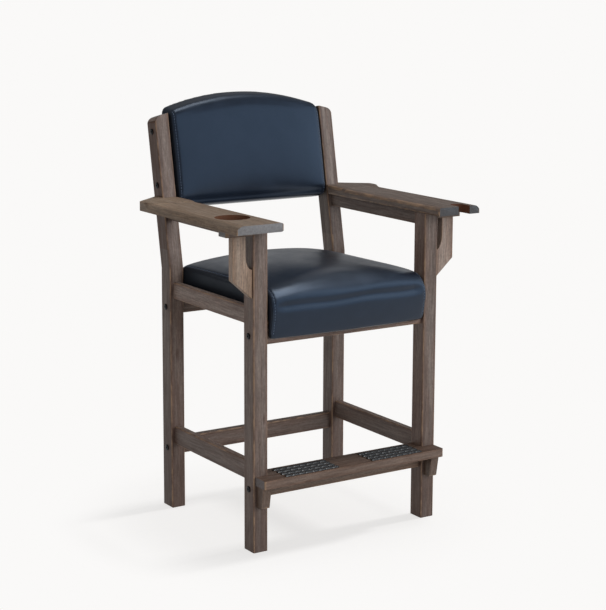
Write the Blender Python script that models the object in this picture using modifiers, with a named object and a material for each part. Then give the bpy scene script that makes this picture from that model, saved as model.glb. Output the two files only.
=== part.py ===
# Billiard spectator chair: a tall wooden armchair with a padded seat and back, a footrest, a cup
# recess in one arm and a cue notch in the other.
# Metres, +Z up. The chair faces -Y, the cup arm is on -X and the cue arm on +X.
# While it is built, Y is measured back from the front face of the front legs.
import math

import bmesh
import bpy
from mathutils import Matrix, Vector

# Clearances, eased edges and how finely curves are divided
FIT_GAP = 0.0003
EDGE_ROUND = 0.003
EDGE_STEPS = 2
ROUND_STEPS = 6
BORE_SIDES = 16
CUT_MARGIN = 0.01
WELD_DISTANCE = 0.00001
FLAT_ANGLE = math.radians(0.1)
SMOOTH_ANGLE = math.radians(40)
ALONG_SHARE = 0.99

# Front legs and rear posts
FRAME_WIDTH = 0.618
LEG_WIDTH = 0.045
FRONT_LEG_DEPTH = 0.0525
LEG_TENON_SHOULDER = 0.014
LEG_TENON_HEIGHT = 0.012
POST_SETBACK = 0.471
POST_DEPTH = 0.054
POST_BEND_HEIGHT = 0.727
POST_RAKE = math.radians(10.8)
POST_TOP_DROP = 0.008
POST_TOP_SLOPE = math.radians(14.0)
POST_TOP_ROUND = 0.026

# Side rails run front to back, cross rails side to side; both are centred on the legs
RAIL_THICKNESS = 0.0216
CROSS_THICKNESS = 0.026
TENON_SHOULDER = 0.005
TENON_LENGTH = 0.020
STUB_LENGTH = 0.008
SEAT_RAIL_BOTTOM = 0.636
SEAT_RAIL_HEIGHT = 0.049
SEAT_CROSS_TOP = 0.635
SEAT_FRONT_RAIL_HEIGHT = 0.053
SEAT_REAR_RAIL_HEIGHT = 0.047
SIDE_STRETCHER_BOTTOM = 0.196
SIDE_STRETCHER_HEIGHT = 0.054
REAR_STRETCHER_TOP = 0.210
REAR_STRETCHER_HEIGHT = 0.050
FRONT_STRETCHER_HEIGHT = 0.037
ARM_RAIL_HEIGHT = 0.038

# Arms: a raised pad beside the post, and a top that is moulded down in front of it
ARM_UNDERSIDE = 0.905
ARM_PAD_THICKNESS = 0.0265
ARM_DISH = 0.0025
ARM_INSIDE = 0.007
ARM_OUTSIDE = 0.095
ARM_OVERHANG = 0.072
ARM_CORNER_ROUND = 0.004
ARM_SHOULDER_ROUND = 0.012
ARM_SHOULDER_BACK = 0.005
ARM_TAIL_BACK = 0.082
ARM_CLIP_LENGTH = 0.018
ARM_CLIP_WIDTH = 0.011
ARM_PAD_LENGTH = 0.071
ARM_OUTER_ROUND = 0.022
ARM_INNER_ROUND = 0.009
MOULDING_RADIUS = 0.050
MOULDING_STEPS = 14
CUP_OUT = 0.018
CUP_BACK = 0.080
CUP_RADIUS = 0.049
CUP_DEPTH = 0.018
CUP_SIDES = 40
CUE_OUT = 0.038
CUE_WIDTH = 0.040
CUE_DEPTH = 0.052

# Corbels outside the front legs, and the caps between them and the arms
CORBEL_WIDTH = 0.060
CORBEL_THICKNESS = 0.023
CORBEL_SETBACK = 0.0065
CORBEL_SIDE_HEIGHT = 0.120
CORBEL_CUT_HEIGHT = 0.053
SLOT_WIDTH = 0.020
SLOT_STRAIGHT = 0.053
SLOT_CURVE = 0.040
CAP_REACH = 0.083
CAP_DEPTH = 0.048
CAP_THICKNESS = 0.0165
CAP_ROUND = 0.008

# Footrest
BOARD_UNDERSIDE = 0.194
BOARD_THICKNESS = 0.024
BOARD_FRONT = 0.051
BOARD_BACK = 0.048
BOARD_END_INSET = 0.005
BOARD_ROUND = 0.004
BRACKET_WIDTH = 0.026
BRACKET_HEIGHT = 0.063
BRACKET_TOP_DEPTH = 0.036
BRACKET_BOTTOM_DEPTH = 0.025
BRACKET_ROUND = 0.006
TREAD_COUNT = 4
TREAD_LENGTH = 0.176
TREAD_END_MARGIN = 0.032
TREAD_FRONT_MARGIN = 0.006
TREAD_PITCH = 0.0215
TREAD_WIDTH = 0.012
TREAD_HEIGHT = 0.0035
TREAD_ROUND = 0.0015

# Connector bolts and their barrel nuts
BOLT_RADIUS = 0.003
BOLT_REACH = 0.040
BOLT_HEAD_RADIUS = 0.009
BOLT_HEAD_HEIGHT = 0.0028
BOLT_HEAD_CHAMFER = 0.0008
BOLT_SOCKET_RADIUS = 0.0029
BOLT_SOCKET_DEPTH = 0.0016
SOCKET_SIDES = 6
BOLT_RISE = 0.021
SEAT_FRONT_BOLT_RISE = 0.027
NUT_RADIUS = 0.005
NUT_LENGTH = 0.018
NUT_REACH = 0.030

# Seat: a plywood panel on the cross rails, and a cushion whose front falls over the front rail
SEAT_PANEL_THICKNESS = 0.015
SEAT_SIDE_CLEARANCE = 0.0015
SEAT_BACK = 0.009
SEAT_SIDE_HEIGHT = 0.0774
SEAT_CROWN = 0.047
SEAT_FRONT_SHARE = 0.30
SEAT_REAR_SHARE = 0.42
SEAT_FRONT_PROUD = 0.032
SEAT_HEM_PROUD = 0.018
SEAT_SEAM_INSET = 0.008
SEAT_FRONT_ROUND = 0.045
SEAT_REAR_ROUND = 0.020
SEAT_HEM_RISE = 0.015
SEAT_HEM_ROUND = 0.006
SEAT_DRAW_IN = 0.003
SEAT_SWELL_POWER = 0.95
SEAT_CROWN_STEPS = 12
SEAT_FACE_STEPS = 5

# Back: a plywood core, a cushion wrapped over its edges, and an upholstered cover behind
BACK_SIDE_CLEARANCE = 0.0025
BACK_BOTTOM_HEIGHT = 0.900
BACK_TOP_HEIGHT = 1.2245
BACK_ARCH_RISE = 0.0425
BACK_REAR_RISE = 0.011
BACK_CORNER_ROUND = 0.011
BACK_SEAM_PROUD = 0.010
BACK_CROWN = 0.018
BACK_REAR_PROUD = 0.008
BACK_FRONT_ROUND = 0.022
BACK_REAR_ROUND = 0.006
BACK_SIDE_ROUND = 0.006
BACK_DRAW_IN = 0.002
BACK_SWELL_POWER = 0.7
BACK_WALL = 0.010
BACK_PANEL_THICKNESS = 0.018
BACK_BOLT_RISE = 0.070
BACK_BOLT_DROP = 0.059
BACK_FACE_STEPS = 10
ARCH_STEPS = 16

# How full a cushion is from its side seam (1) to its middle (0), and where its sections lie
SWELL_SPREAD = 2.2
CUSHION_STATIONS = (0.0, 0.22, 0.43, 0.62, 0.77, 0.88, 0.945, 0.98, 0.993, 1.0)

# Finishes: colour, roughness, metallic
FINISHES = {
    "stained_hardwood": ((0.115, 0.082, 0.066), 0.55, 0.0),
    "plywood": ((0.36, 0.26, 0.16), 0.7, 0.0),
    "navy_leather": ((0.021, 0.026, 0.036), 0.38, 0.0),
    "black_rubber": ((0.012, 0.012, 0.013), 0.6, 0.0),
    "black_steel": ((0.012, 0.012, 0.014), 0.4, 1.0),
    "zinc_steel": ((0.55, 0.55, 0.56), 0.35, 1.0),
}

# Places worked out from the sizes above
leg_out = FRAME_WIDTH / 2
leg_in = leg_out - LEG_WIDTH
leg_mid = leg_out - LEG_WIDTH / 2
front_leg_mid = FRONT_LEG_DEPTH / 2
post_mid = POST_SETBACK + POST_DEPTH / 2
arm_inner = leg_in - ARM_INSIDE
arm_outer = leg_out + ARM_OUTSIDE
arm_top = ARM_UNDERSIDE + ARM_PAD_THICKNESS
arm_dish_top = arm_top - ARM_DISH
under_arm = ARM_UNDERSIDE - FIT_GAP
cap_bottom = under_arm - CAP_THICKNESS
corbel_top = cap_bottom - FIT_GAP
board_top = BOARD_UNDERSIDE + BOARD_THICKNESS
under_board = BOARD_UNDERSIDE - FIT_GAP
seat_panel_bottom = SEAT_CROSS_TOP + FIT_GAP
seat_base = seat_panel_bottom + SEAT_PANEL_THICKNESS + FIT_GAP
seat_seam_height = seat_base + SEAT_SIDE_HEIGHT
seat_hem_height = SEAT_CROSS_TOP - SEAT_FRONT_RAIL_HEIGHT + SEAT_HEM_RISE
cross_front = front_leg_mid - CROSS_THICKNESS / 2
seat_half_width = leg_in - SEAT_SIDE_CLEARANCE
back_half_width = leg_in - BACK_SIDE_CLEARANCE
back_corner_height = BACK_TOP_HEIGHT - BACK_ARCH_RISE
bolt_bore = BOLT_RADIUS + FIT_GAP
SIDES = (("left", -1), ("right", 1))

# Outlines drawn in plan, from the side or from the front, as turns of the drawing plane
PLAN = Matrix.Identity(4)
SIDE = Matrix(((0, 0, 1), (1, 0, 0), (0, 1, 0))).to_4x4()
FRONT = Matrix(((1, 0, 0), (0, 0, -1), (0, 1, 0))).to_4x4()


def post_face(height):
    return POST_SETBACK + max(0.0, height - POST_BEND_HEIGHT) * math.tan(POST_RAKE)


def up_the_rake(height):
    return (height - POST_BEND_HEIGHT) / math.cos(POST_RAKE)


# Scene, collections and the two frames that pieces hang from
for old in list(bpy.data.objects):
    bpy.data.objects.remove(old)
chair = bpy.data.collections.new("billiard_spectator_chair")
cutters = bpy.data.collections.new("cutters")
bpy.context.scene.collection.children.link(chair)
bpy.context.scene.collection.children.link(cutters)
root = bpy.data.objects.new("chair_frame", None)
back_frame = bpy.data.objects.new("raked_back_frame", None)
chair.objects.link(root)
chair.objects.link(back_frame)
back_frame.parent = root
back_frame.location = (0.0, POST_SETBACK, POST_BEND_HEIGHT)
back_frame.rotation_euler = (-POST_RAKE, 0.0, 0.0)


def finish(piece, kind):
    colour, roughness, metallic = FINISHES[kind]
    material = bpy.data.materials.new(piece.name + "_" + kind)
    material.use_nodes = True
    shader = material.node_tree.nodes["Principled BSDF"]
    shader.inputs["Base Color"].default_value = (*colour, 1.0)
    shader.inputs["Roughness"].default_value = roughness
    shader.inputs["Metallic"].default_value = metallic
    piece.data.materials.clear()
    piece.data.materials.append(material)


def to_mesh(bm, name):
    bmesh.ops.recalc_face_normals(bm, faces=bm.faces)
    mesh = bpy.data.meshes.new(name)
    bm.to_mesh(mesh)
    bm.free()
    return mesh


def place(name, mesh, kind, location=(0, 0, 0), rotation=(0, 0, 0), parent=root):
    piece = bpy.data.objects.new(name, mesh)
    chair.objects.link(piece)
    piece.parent = parent
    piece.location = location
    piece.rotation_euler = rotation
    finish(piece, kind)
    return piece


def place_cutter(name, mesh, location=(0, 0, 0), rotation=(0, 0, 0), parent=root):
    cutter = bpy.data.objects.new(name, mesh)
    cutters.objects.link(cutter)
    cutter.parent = parent
    cutter.location = location
    cutter.rotation_euler = rotation
    cutter.hide_render = True
    cutter.display_type = "WIRE"
    return cutter


def cut(piece, cutter):
    boolean = piece.modifiers.new(cutter.name, "BOOLEAN")
    boolean.operation = "DIFFERENCE"
    boolean.solver = "EXACT"
    boolean.object = cutter


def smooth(mesh):
    mesh.shade_smooth()
    mesh.set_sharp_from_angle(angle=SMOOTH_ANGLE)


def box(size):
    bm = bmesh.new()
    bmesh.ops.create_cube(bm, size=1.0)
    bmesh.ops.scale(bm, vec=size, verts=bm.verts)
    return bm


def cylinder(radius, length, sides):
    bm = bmesh.new()
    bmesh.ops.create_cone(bm, cap_ends=True, segments=sides, radius1=radius, radius2=radius,
                          depth=length)
    return bm


def ease(bm, edges, radius, steps=EDGE_STEPS):
    bmesh.ops.bevel(bm, geom=list(edges), offset=radius, offset_type="OFFSET", segments=steps,
                    profile=0.5, affect="EDGES")


def edges_along(bm, axis):
    def runs_along(edge):
        run = edge.verts[1].co - edge.verts[0].co
        return abs(run[axis]) > run.length * ALONG_SHARE
    return [edge for edge in bm.edges if runs_along(edge)]


def arrises(bm, axis):
    # The four long edges of a squared piece, and none of its tenons'.
    return sorted(edges_along(bm, axis), key=lambda edge: edge.calc_length())[-4:]


def outline(corners):
    # Each corner is (a, b, radius); a corner with a radius is drawn as an arc.
    points = []
    for index, (a, b, radius) in enumerate(corners):
        corner = Vector((a, b))
        if radius == 0:
            points.append(corner)
            continue
        before = (Vector(corners[index - 1][:2]) - corner).normalized()
        after = (Vector(corners[(index + 1) % len(corners)][:2]) - corner).normalized()
        half = before.angle(after) / 2
        centre = corner + (before + after).normalized() * radius / math.sin(half)
        start = corner + before * radius / math.tan(half) - centre
        end = corner + after * radius / math.tan(half) - centre
        sweep = start.angle_signed(end)
        for step in range(ROUND_STEPS + 1):
            points.append(centre + Matrix.Rotation(-sweep * step / ROUND_STEPS, 2) @ start)
    return points


def on_side(side, corners):
    return [(side * a, b, radius) for a, b, radius in corners]


def slab(name, points, thickness, plane):
    curve = bpy.data.curves.new(name, "CURVE")
    curve.dimensions = "2D"
    curve.fill_mode = "BOTH"
    curve.extrude = thickness / 2
    spline = curve.splines.new("POLY")
    spline.points.add(len(points) - 1)
    for point, (a, b) in zip(spline.points, points):
        point.co = (a, b, 0.0, 1.0)
    spline.use_cyclic_u = True
    drawing = bpy.data.objects.new(name, curve)
    chair.objects.link(drawing)
    depsgraph = bpy.context.evaluated_depsgraph_get()
    flat = bpy.data.meshes.new_from_object(drawing.evaluated_get(depsgraph))
    bpy.data.objects.remove(drawing)
    bm = bmesh.new()
    bm.from_mesh(flat)
    bpy.data.meshes.remove(flat)
    bmesh.ops.remove_doubles(bm, verts=bm.verts, dist=WELD_DISTANCE)
    bmesh.ops.recalc_face_normals(bm, faces=bm.faces)
    bmesh.ops.dissolve_limit(bm, angle_limit=FLAT_ANGLE, verts=bm.verts, edges=bm.edges)
    bm.transform(plane)
    bm.normal_update()
    return bm


def loft(rings):
    bm = bmesh.new()
    loops = [[bm.verts.new(point) for point in ring] for ring in rings]
    for near, far in zip(loops, loops[1:]):
        for index in range(len(near)):
            after = (index + 1) % len(near)
            bm.faces.new((near[index], near[after], far[after], far[index]))
    ends = [bm.faces.new(loops[0]), bm.faces.new(loops[-1])]
    bm.normal_update()
    bmesh.ops.triangulate(bm, faces=ends)
    return bm


def add_tenon(bm, axis, direction, shoulder, length):
    # Insets the end face that looks along the axis and draws it out.
    end = max(bm.faces, key=lambda face: direction * face.calc_center_median()[axis])
    bmesh.ops.inset_individual(bm, faces=[end], thickness=shoulder, use_even_offset=True)
    drawn = bmesh.ops.extrude_discrete_faces(bm, faces=[end])["faces"][0]
    for vert in drawn.verts:
        vert.co[axis] += direction * length
    bm.normal_update()


class Rail:
    # A rail between two low and high corners, with a tenon at each end of its long axis.

    def __init__(self, name, low, high, axis, tenon_length, raked=False):
        self.low = Vector(low)
        self.high = Vector(high)
        self.axis = axis
        self.tenon_length = tenon_length
        centre = (self.low + self.high) / 2
        bm = box(self.high - self.low)
        if raked:
            for vert in bm.verts:
                if vert.co.y > 0:
                    vert.co.y += post_face(vert.co.z + centre.z) - post_face(centre.z)
        for direction in (-1, 1):
            add_tenon(bm, axis, direction, TENON_SHOULDER, tenon_length)
        ease(bm, arrises(bm, axis), EDGE_ROUND)
        self.piece = place(name, to_mesh(bm, name), "stained_hardwood", centre)

    def mortise(self, piece, direction):
        # The socket for one tenon: its section with a gap all round, and its length with a gap.
        low = self.low + Vector((1, 1, 1)) * (TENON_SHOULDER - FIT_GAP)
        high = self.high - Vector((1, 1, 1)) * (TENON_SHOULDER - FIT_GAP)
        end = self.high[self.axis] if direction > 0 else self.low[self.axis]
        mouth = end - direction * CUT_MARGIN
        floor = end + direction * (self.tenon_length + FIT_GAP + self.slant())
        low[self.axis] = min(mouth, floor)
        high[self.axis] = max(mouth, floor)
        name = self.piece.name + "_mortise_" + piece.name
        cut(piece, place_cutter(name, to_mesh(box(high - low), name), (low + high) / 2))

    def slant(self):
        # How much further a raked end reaches at its upper edge than at its middle.
        ends = [vert.co[self.axis] for vert in self.piece.data.vertices]
        half = (self.high[self.axis] - self.low[self.axis]) / 2
        return max(ends) - half - self.tenon_length


# Front legs, with a stub tenon that stands in the arm
front_legs = {}
for side_name, side in SIDES:
    bm = box((LEG_WIDTH, FRONT_LEG_DEPTH, under_arm))
    add_tenon(bm, 2, 1, LEG_TENON_SHOULDER, LEG_TENON_HEIGHT)
    ease(bm, arrises(bm, 2), EDGE_ROUND)
    leg_name = "front_leg_" + side_name
    front_legs[side] = place(leg_name, to_mesh(bm, leg_name), "stained_hardwood",
                             (side * leg_mid, front_leg_mid, under_arm / 2))

# Rear posts: one bent plank from the floor to just below the back cushion's corner
post_top = up_the_rake(back_corner_height - POST_TOP_DROP)
blank_top = post_top + CUT_MARGIN
rake_up = Vector((math.sin(POST_RAKE), math.cos(POST_RAKE)))
rake_back = Vector((math.cos(POST_RAKE), -math.sin(POST_RAKE)))
front_bend = Vector((POST_SETBACK, POST_BEND_HEIGHT))
rear_bend = Vector((POST_SETBACK + POST_DEPTH,
                    POST_BEND_HEIGHT - POST_DEPTH * math.tan(POST_RAKE / 2)))
post_outline = [
    Vector((POST_SETBACK, 0.0)),
    Vector((POST_SETBACK + POST_DEPTH, 0.0)),
    rear_bend,
    front_bend + rake_up * blank_top + rake_back * POST_DEPTH,
    front_bend + rake_up * blank_top,
    front_bend,
]
rear_posts = {}
for side_name, side in SIDES:
    post_name = "rear_post_" + side_name
    bm = slab(post_name, post_outline, LEG_WIDTH, SIDE)
    along_x = edges_along(bm, 0)
    ease(bm, [edge for edge in bm.edges if edge not in along_x], EDGE_ROUND)
    rear_posts[side] = place(post_name, to_mesh(bm, post_name), "stained_hardwood",
                             (side * leg_mid, 0, 0))
    # The top falls away to the outside and turns down in a round corner just clear of the side.
    top_drop = LEG_WIDTH * math.tan(POST_TOP_SLOPE)
    above = blank_top + CUT_MARGIN
    waste_out = leg_out + FIT_GAP
    waste = outline([
        (side * (leg_in - CUT_MARGIN), post_top + CUT_MARGIN * math.tan(POST_TOP_SLOPE), 0),
        (side * waste_out, post_top - top_drop, POST_TOP_ROUND),
        (side * waste_out, post_top - top_drop - 2 * POST_TOP_ROUND, 0),
        (side * (waste_out + CUT_MARGIN), post_top - top_drop - 2 * POST_TOP_ROUND, 0),
        (side * (waste_out + CUT_MARGIN), above, 0),
        (side * (leg_in - CUT_MARGIN), above, 0),
    ])
    waste_name = "post_top_waste_" + side_name
    bm = slab(waste_name, waste, POST_DEPTH + 2 * CUT_MARGIN, FRONT)
    cut(rear_posts[side], place_cutter(waste_name, to_mesh(bm, waste_name), (0, POST_DEPTH / 2, 0),
                                       parent=back_frame))

# Side rails: seat rails, stretchers and the rails under the arms
for side_name, side in SIDES:
    near = side * leg_mid - RAIL_THICKNESS / 2
    far = side * leg_mid + RAIL_THICKNESS / 2
    rail_front = FRONT_LEG_DEPTH + FIT_GAP
    rail_back = POST_SETBACK - FIT_GAP
    arm_rail_bottom = under_arm - ARM_RAIL_HEIGHT
    arm_rail_back = post_face((arm_rail_bottom + under_arm) / 2) - FIT_GAP / math.cos(POST_RAKE)
    side_rails = (
        Rail("seat_rail_" + side_name, (near, rail_front, SEAT_RAIL_BOTTOM),
             (far, rail_back, SEAT_RAIL_BOTTOM + SEAT_RAIL_HEIGHT), 1, TENON_LENGTH),
        Rail("side_stretcher_" + side_name, (near, rail_front, SIDE_STRETCHER_BOTTOM),
             (far, rail_back, SIDE_STRETCHER_BOTTOM + SIDE_STRETCHER_HEIGHT), 1, TENON_LENGTH),
        Rail("arm_rail_" + side_name, (near, rail_front, arm_rail_bottom),
             (far, arm_rail_back, under_arm), 1, TENON_LENGTH, raked=True),
    )
    for rail in side_rails:
        rail.mortise(front_legs[side], -1)
        rail.mortise(rear_posts[side], 1)

# Cross rails, each held at both ends by a stub tenon, a connector bolt and a barrel nut
cross_rails = []
for rail_name, legs, top, height, bolt_rise in (
    ("seat_rail_front", front_legs, SEAT_CROSS_TOP, SEAT_FRONT_RAIL_HEIGHT, SEAT_FRONT_BOLT_RISE),
    ("seat_rail_rear", rear_posts, SEAT_CROSS_TOP, SEAT_REAR_RAIL_HEIGHT, BOLT_RISE),
    ("front_stretcher", front_legs, under_board, FRONT_STRETCHER_HEIGHT, BOLT_RISE),
    ("rear_stretcher", rear_posts, REAR_STRETCHER_TOP, REAR_STRETCHER_HEIGHT, BOLT_RISE),
):
    middle = front_leg_mid if legs is front_legs else post_mid
    reach = leg_in - FIT_GAP
    bottom = top - height
    rail = Rail(rail_name, (-reach, middle - CROSS_THICKNESS / 2, bottom),
                (reach, middle + CROSS_THICKNESS / 2, top), 0, STUB_LENGTH)
    cross_rails.append((rail, middle, bottom, bottom + bolt_rise, legs))
    for side_name, side in SIDES:
        rail.mortise(legs[side], side)


# Bolts: a flat chamfered head with a hexagon socket, turned from one profile
def bolt_mesh():
    length = LEG_WIDTH + FIT_GAP + BOLT_REACH
    profile = [
        (0.0, BOLT_HEAD_HEIGHT),
        (BOLT_HEAD_RADIUS - BOLT_HEAD_CHAMFER, BOLT_HEAD_HEIGHT),
        (BOLT_HEAD_RADIUS, BOLT_HEAD_HEIGHT - BOLT_HEAD_CHAMFER),
        (BOLT_HEAD_RADIUS, 0.0),
        (BOLT_RADIUS, 0.0),
        (BOLT_RADIUS, -length),
        (0.0, -length),
    ]
    drawn = bpy.data.meshes.new("bolt_profile")
    lines = [(index, index + 1) for index in range(len(profile) - 1)]
    drawn.from_pydata([(radius, 0.0, height) for radius, height in profile], lines, [])
    turned = bpy.data.objects.new("bolt_turned", drawn)
    chair.objects.link(turned)
    screw = turned.modifiers.new("turn", "SCREW")
    screw.steps = BORE_SIDES
    screw.render_steps = BORE_SIDES
    screw.use_merge_vertices = True
    screw.merge_threshold = WELD_DISTANCE
    socket_bm = cylinder(BOLT_SOCKET_RADIUS, 2 * BOLT_SOCKET_DEPTH, SOCKET_SIDES)
    socket = place_cutter("bolt_socket", to_mesh(socket_bm, "bolt_socket"), (0, 0, BOLT_HEAD_HEIGHT),
                          parent=None)
    cut(turned, socket)
    depsgraph = bpy.context.evaluated_depsgraph_get()
    mesh = bpy.data.meshes.new_from_object(turned.evaluated_get(depsgraph))
    mesh.name = "connector_bolt"
    smooth(mesh)
    bpy.data.objects.remove(turned)
    bpy.data.objects.remove(socket)
    return mesh


bolt = bolt_mesh()


def add_bolt(name, side, across, height, pieces, parent=root):
    # The bolt points inwards from the leg's outer face; its bore goes through every piece it holds.
    seat = (side * (leg_out + FIT_GAP), across, height)
    turn = (0, side * math.pi / 2, 0)
    place(name, bolt.copy(), "black_steel", seat, turn, parent)
    bore_length = LEG_WIDTH + BOLT_REACH + CUT_MARGIN + 2 * FIT_GAP
    bore_middle = leg_out + CUT_MARGIN - bore_length / 2
    bore_mesh = to_mesh(cylinder(bolt_bore, bore_length, BORE_SIDES), name + "_bore")
    bore = place_cutter(name + "_bore", bore_mesh, (side * bore_middle, across, height), turn, parent)
    for piece in pieces:
        cut(piece, bore)


for rail, middle, bottom, bolt_height, legs in cross_rails:
    for side_name, side in SIDES:
        nut_place = (side * (leg_in - NUT_REACH), middle, bolt_height)
        nut_name = "barrel_nut_" + rail.piece.name + "_" + side_name
        nut_mesh = to_mesh(cylinder(NUT_RADIUS, NUT_LENGTH, BORE_SIDES), nut_name)
        nut = place(nut_name, nut_mesh, "zinc_steel", nut_place)
        # The nut goes in from below, so its hole is open at the rail's underside.
        hole_top = bolt_height + NUT_LENGTH / 2 + FIT_GAP
        hole_bottom = bottom - CUT_MARGIN
        hole_name = nut_name + "_hole"
        hole_bm = cylinder(NUT_RADIUS + FIT_GAP, hole_top - hole_bottom, BORE_SIDES)
        hole_place = (*nut_place[:2], (hole_top + hole_bottom) / 2)
        cut(rail.piece, place_cutter(hole_name, to_mesh(hole_bm, hole_name), hole_place))
        add_bolt("bolt_" + rail.piece.name + "_" + side_name, side, middle, bolt_height,
                 (legs[side], rail.piece, nut))


# Arms: a flat blank fitted round the post, moulded along its top, with the cup or the cue cut in
def arm_blank(name, side):
    front = -ARM_OVERHANG
    notch = post_face(ARM_UNDERSIDE) - FIT_GAP / math.cos(POST_RAKE)
    clip = notch - ARM_CLIP_LENGTH
    corners = [
        (arm_inner, front, ARM_CORNER_ROUND),
        (arm_outer, front, ARM_CORNER_ROUND),
        (arm_outer, POST_SETBACK + ARM_SHOULDER_BACK, ARM_SHOULDER_ROUND),
        (leg_out + FIT_GAP, POST_SETBACK + ARM_TAIL_BACK, 0),
        (leg_out + FIT_GAP, notch, 0),
        (arm_inner + ARM_CLIP_WIDTH, notch, 0),
        (arm_inner, clip, 0),
    ]
    bm = slab(name, outline(on_side(side, corners)), ARM_PAD_THICKNESS, PLAN)
    bmesh.ops.translate(bm, vec=(0, 0, ARM_UNDERSIDE + ARM_PAD_THICKNESS / 2), verts=bm.verts)
    # The end that meets the post leans back with it.
    for vert in bm.verts:
        if min(abs(vert.co.y - notch), abs(vert.co.y - clip)) < WELD_DISTANCE:
            vert.co.y += post_face(vert.co.z) - post_face(ARM_UNDERSIDE)
    return bm


# A quarter round along one edge, drawn from the side face up to the top face
def edge_round(across, top, radius, inwards):
    return [(across + inwards * radius * (1 - math.cos(turn)), top - radius + radius * math.sin(turn))
            for turn in quarter_turns()]


def quarter_turns():
    return [math.pi / 2 * step / ROUND_STEPS for step in range(ROUND_STEPS + 1)]


# The inner edge of the raised pad is rounded over its whole length
def pad_edge(side):
    outside = arm_inner - CUT_MARGIN
    above = arm_top + CUT_MARGIN
    rounded = edge_round(arm_inner, arm_top, ARM_INNER_ROUND, 1)
    profile = [(outside, above), (outside, rounded[0][1]), *rounded, (rounded[-1][0], above)]
    length = ARM_OVERHANG + POST_SETBACK + ARM_TAIL_BACK + 2 * CUT_MARGIN
    bm = slab("pad_edge", [Vector((side * a, b)) for a, b in profile], length, FRONT)
    bmesh.ops.translate(bm, vec=(0, length / 2 - ARM_OVERHANG - CUT_MARGIN, 0), verts=bm.verts)
    return bm


# The moulding runs back along the arm and lifts off in a quarter turn before the post
def moulding(side):
    axis_height = arm_dish_top + MOULDING_RADIUS
    upper = axis_height - CUT_MARGIN / 2
    inner_low = arm_dish_top - ARM_INNER_ROUND
    outer_low = arm_dish_top - ARM_OUTER_ROUND
    inner_round = edge_round(arm_inner, arm_dish_top, ARM_INNER_ROUND, 1)
    outer_round = edge_round(arm_outer, arm_dish_top, ARM_OUTER_ROUND, -1)
    profile = [(arm_inner - CUT_MARGIN, upper), (arm_inner - CUT_MARGIN, inner_low)]
    profile += inner_round + outer_round[::-1]
    profile += [(arm_outer + CUT_MARGIN, outer_low), (arm_outer + CUT_MARGIN, upper)]
    start = -ARM_OVERHANG - CUT_MARGIN
    lift_off = POST_SETBACK - ARM_PAD_LENGTH
    bm = bmesh.new()
    face = bm.faces.new([bm.verts.new((side * x, start, z)) for x, z in profile])
    run = bmesh.ops.extrude_face_region(bm, geom=[face])["geom"]
    bmesh.ops.translate(bm, vec=(0, lift_off - start, 0),
                        verts=[item for item in run if isinstance(item, bmesh.types.BMVert)])
    bmesh.ops.spin(bm, geom=run, cent=(0, lift_off, axis_height), axis=(1, 0, 0), angle=math.pi / 2,
                   steps=MOULDING_STEPS)
    return bm


arms = {}
for arm_name, side in (("arm_cup_left", -1), ("arm_cue_right", 1)):
    arm_mesh = to_mesh(arm_blank(arm_name, side), arm_name)
    smooth(arm_mesh)
    arms[side] = place(arm_name, arm_mesh, "stained_hardwood")
    for shape_name, shape in (("pad_edge", pad_edge), ("moulding", moulding)):
        cutter_name = arm_name + "_" + shape_name
        cut(arms[side], place_cutter(cutter_name, to_mesh(shape(side), cutter_name)))
    socket_size = (LEG_WIDTH - 2 * LEG_TENON_SHOULDER + 2 * FIT_GAP,
                   FRONT_LEG_DEPTH - 2 * LEG_TENON_SHOULDER + 2 * FIT_GAP,
                   2 * (LEG_TENON_HEIGHT + FIT_GAP))
    cut(arms[side], place_cutter(arm_name + "_socket", to_mesh(box(socket_size), arm_name + "_socket"),
                                 (side * leg_mid, front_leg_mid, ARM_UNDERSIDE)))

cup_mesh = to_mesh(cylinder(CUP_RADIUS, 2 * CUP_DEPTH, CUP_SIDES), "cup_recess")
cut(arms[-1], place_cutter("cup_recess", cup_mesh, (-leg_out - CUP_OUT, CUP_BACK, arm_dish_top)))

cue_middle = leg_out + CUE_OUT
cue_end = -ARM_OVERHANG + CUE_DEPTH
cue_mouth = -ARM_OVERHANG - CUT_MARGIN
cue_round = CUE_WIDTH / 2 - WELD_DISTANCE
cue_outline = outline([
    (cue_middle - CUE_WIDTH / 2, cue_mouth, 0),
    (cue_middle + CUE_WIDTH / 2, cue_mouth, 0),
    (cue_middle + CUE_WIDTH / 2, cue_end, cue_round),
    (cue_middle - CUE_WIDTH / 2, cue_end, cue_round),
])
cue_bm = slab("cue_notch", cue_outline, 2 * ARM_PAD_THICKNESS + 2 * CUT_MARGIN, PLAN)
cut(arms[1], place_cutter("cue_notch", to_mesh(cue_bm, "cue_notch"), (0, 0, ARM_UNDERSIDE)))

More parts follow.
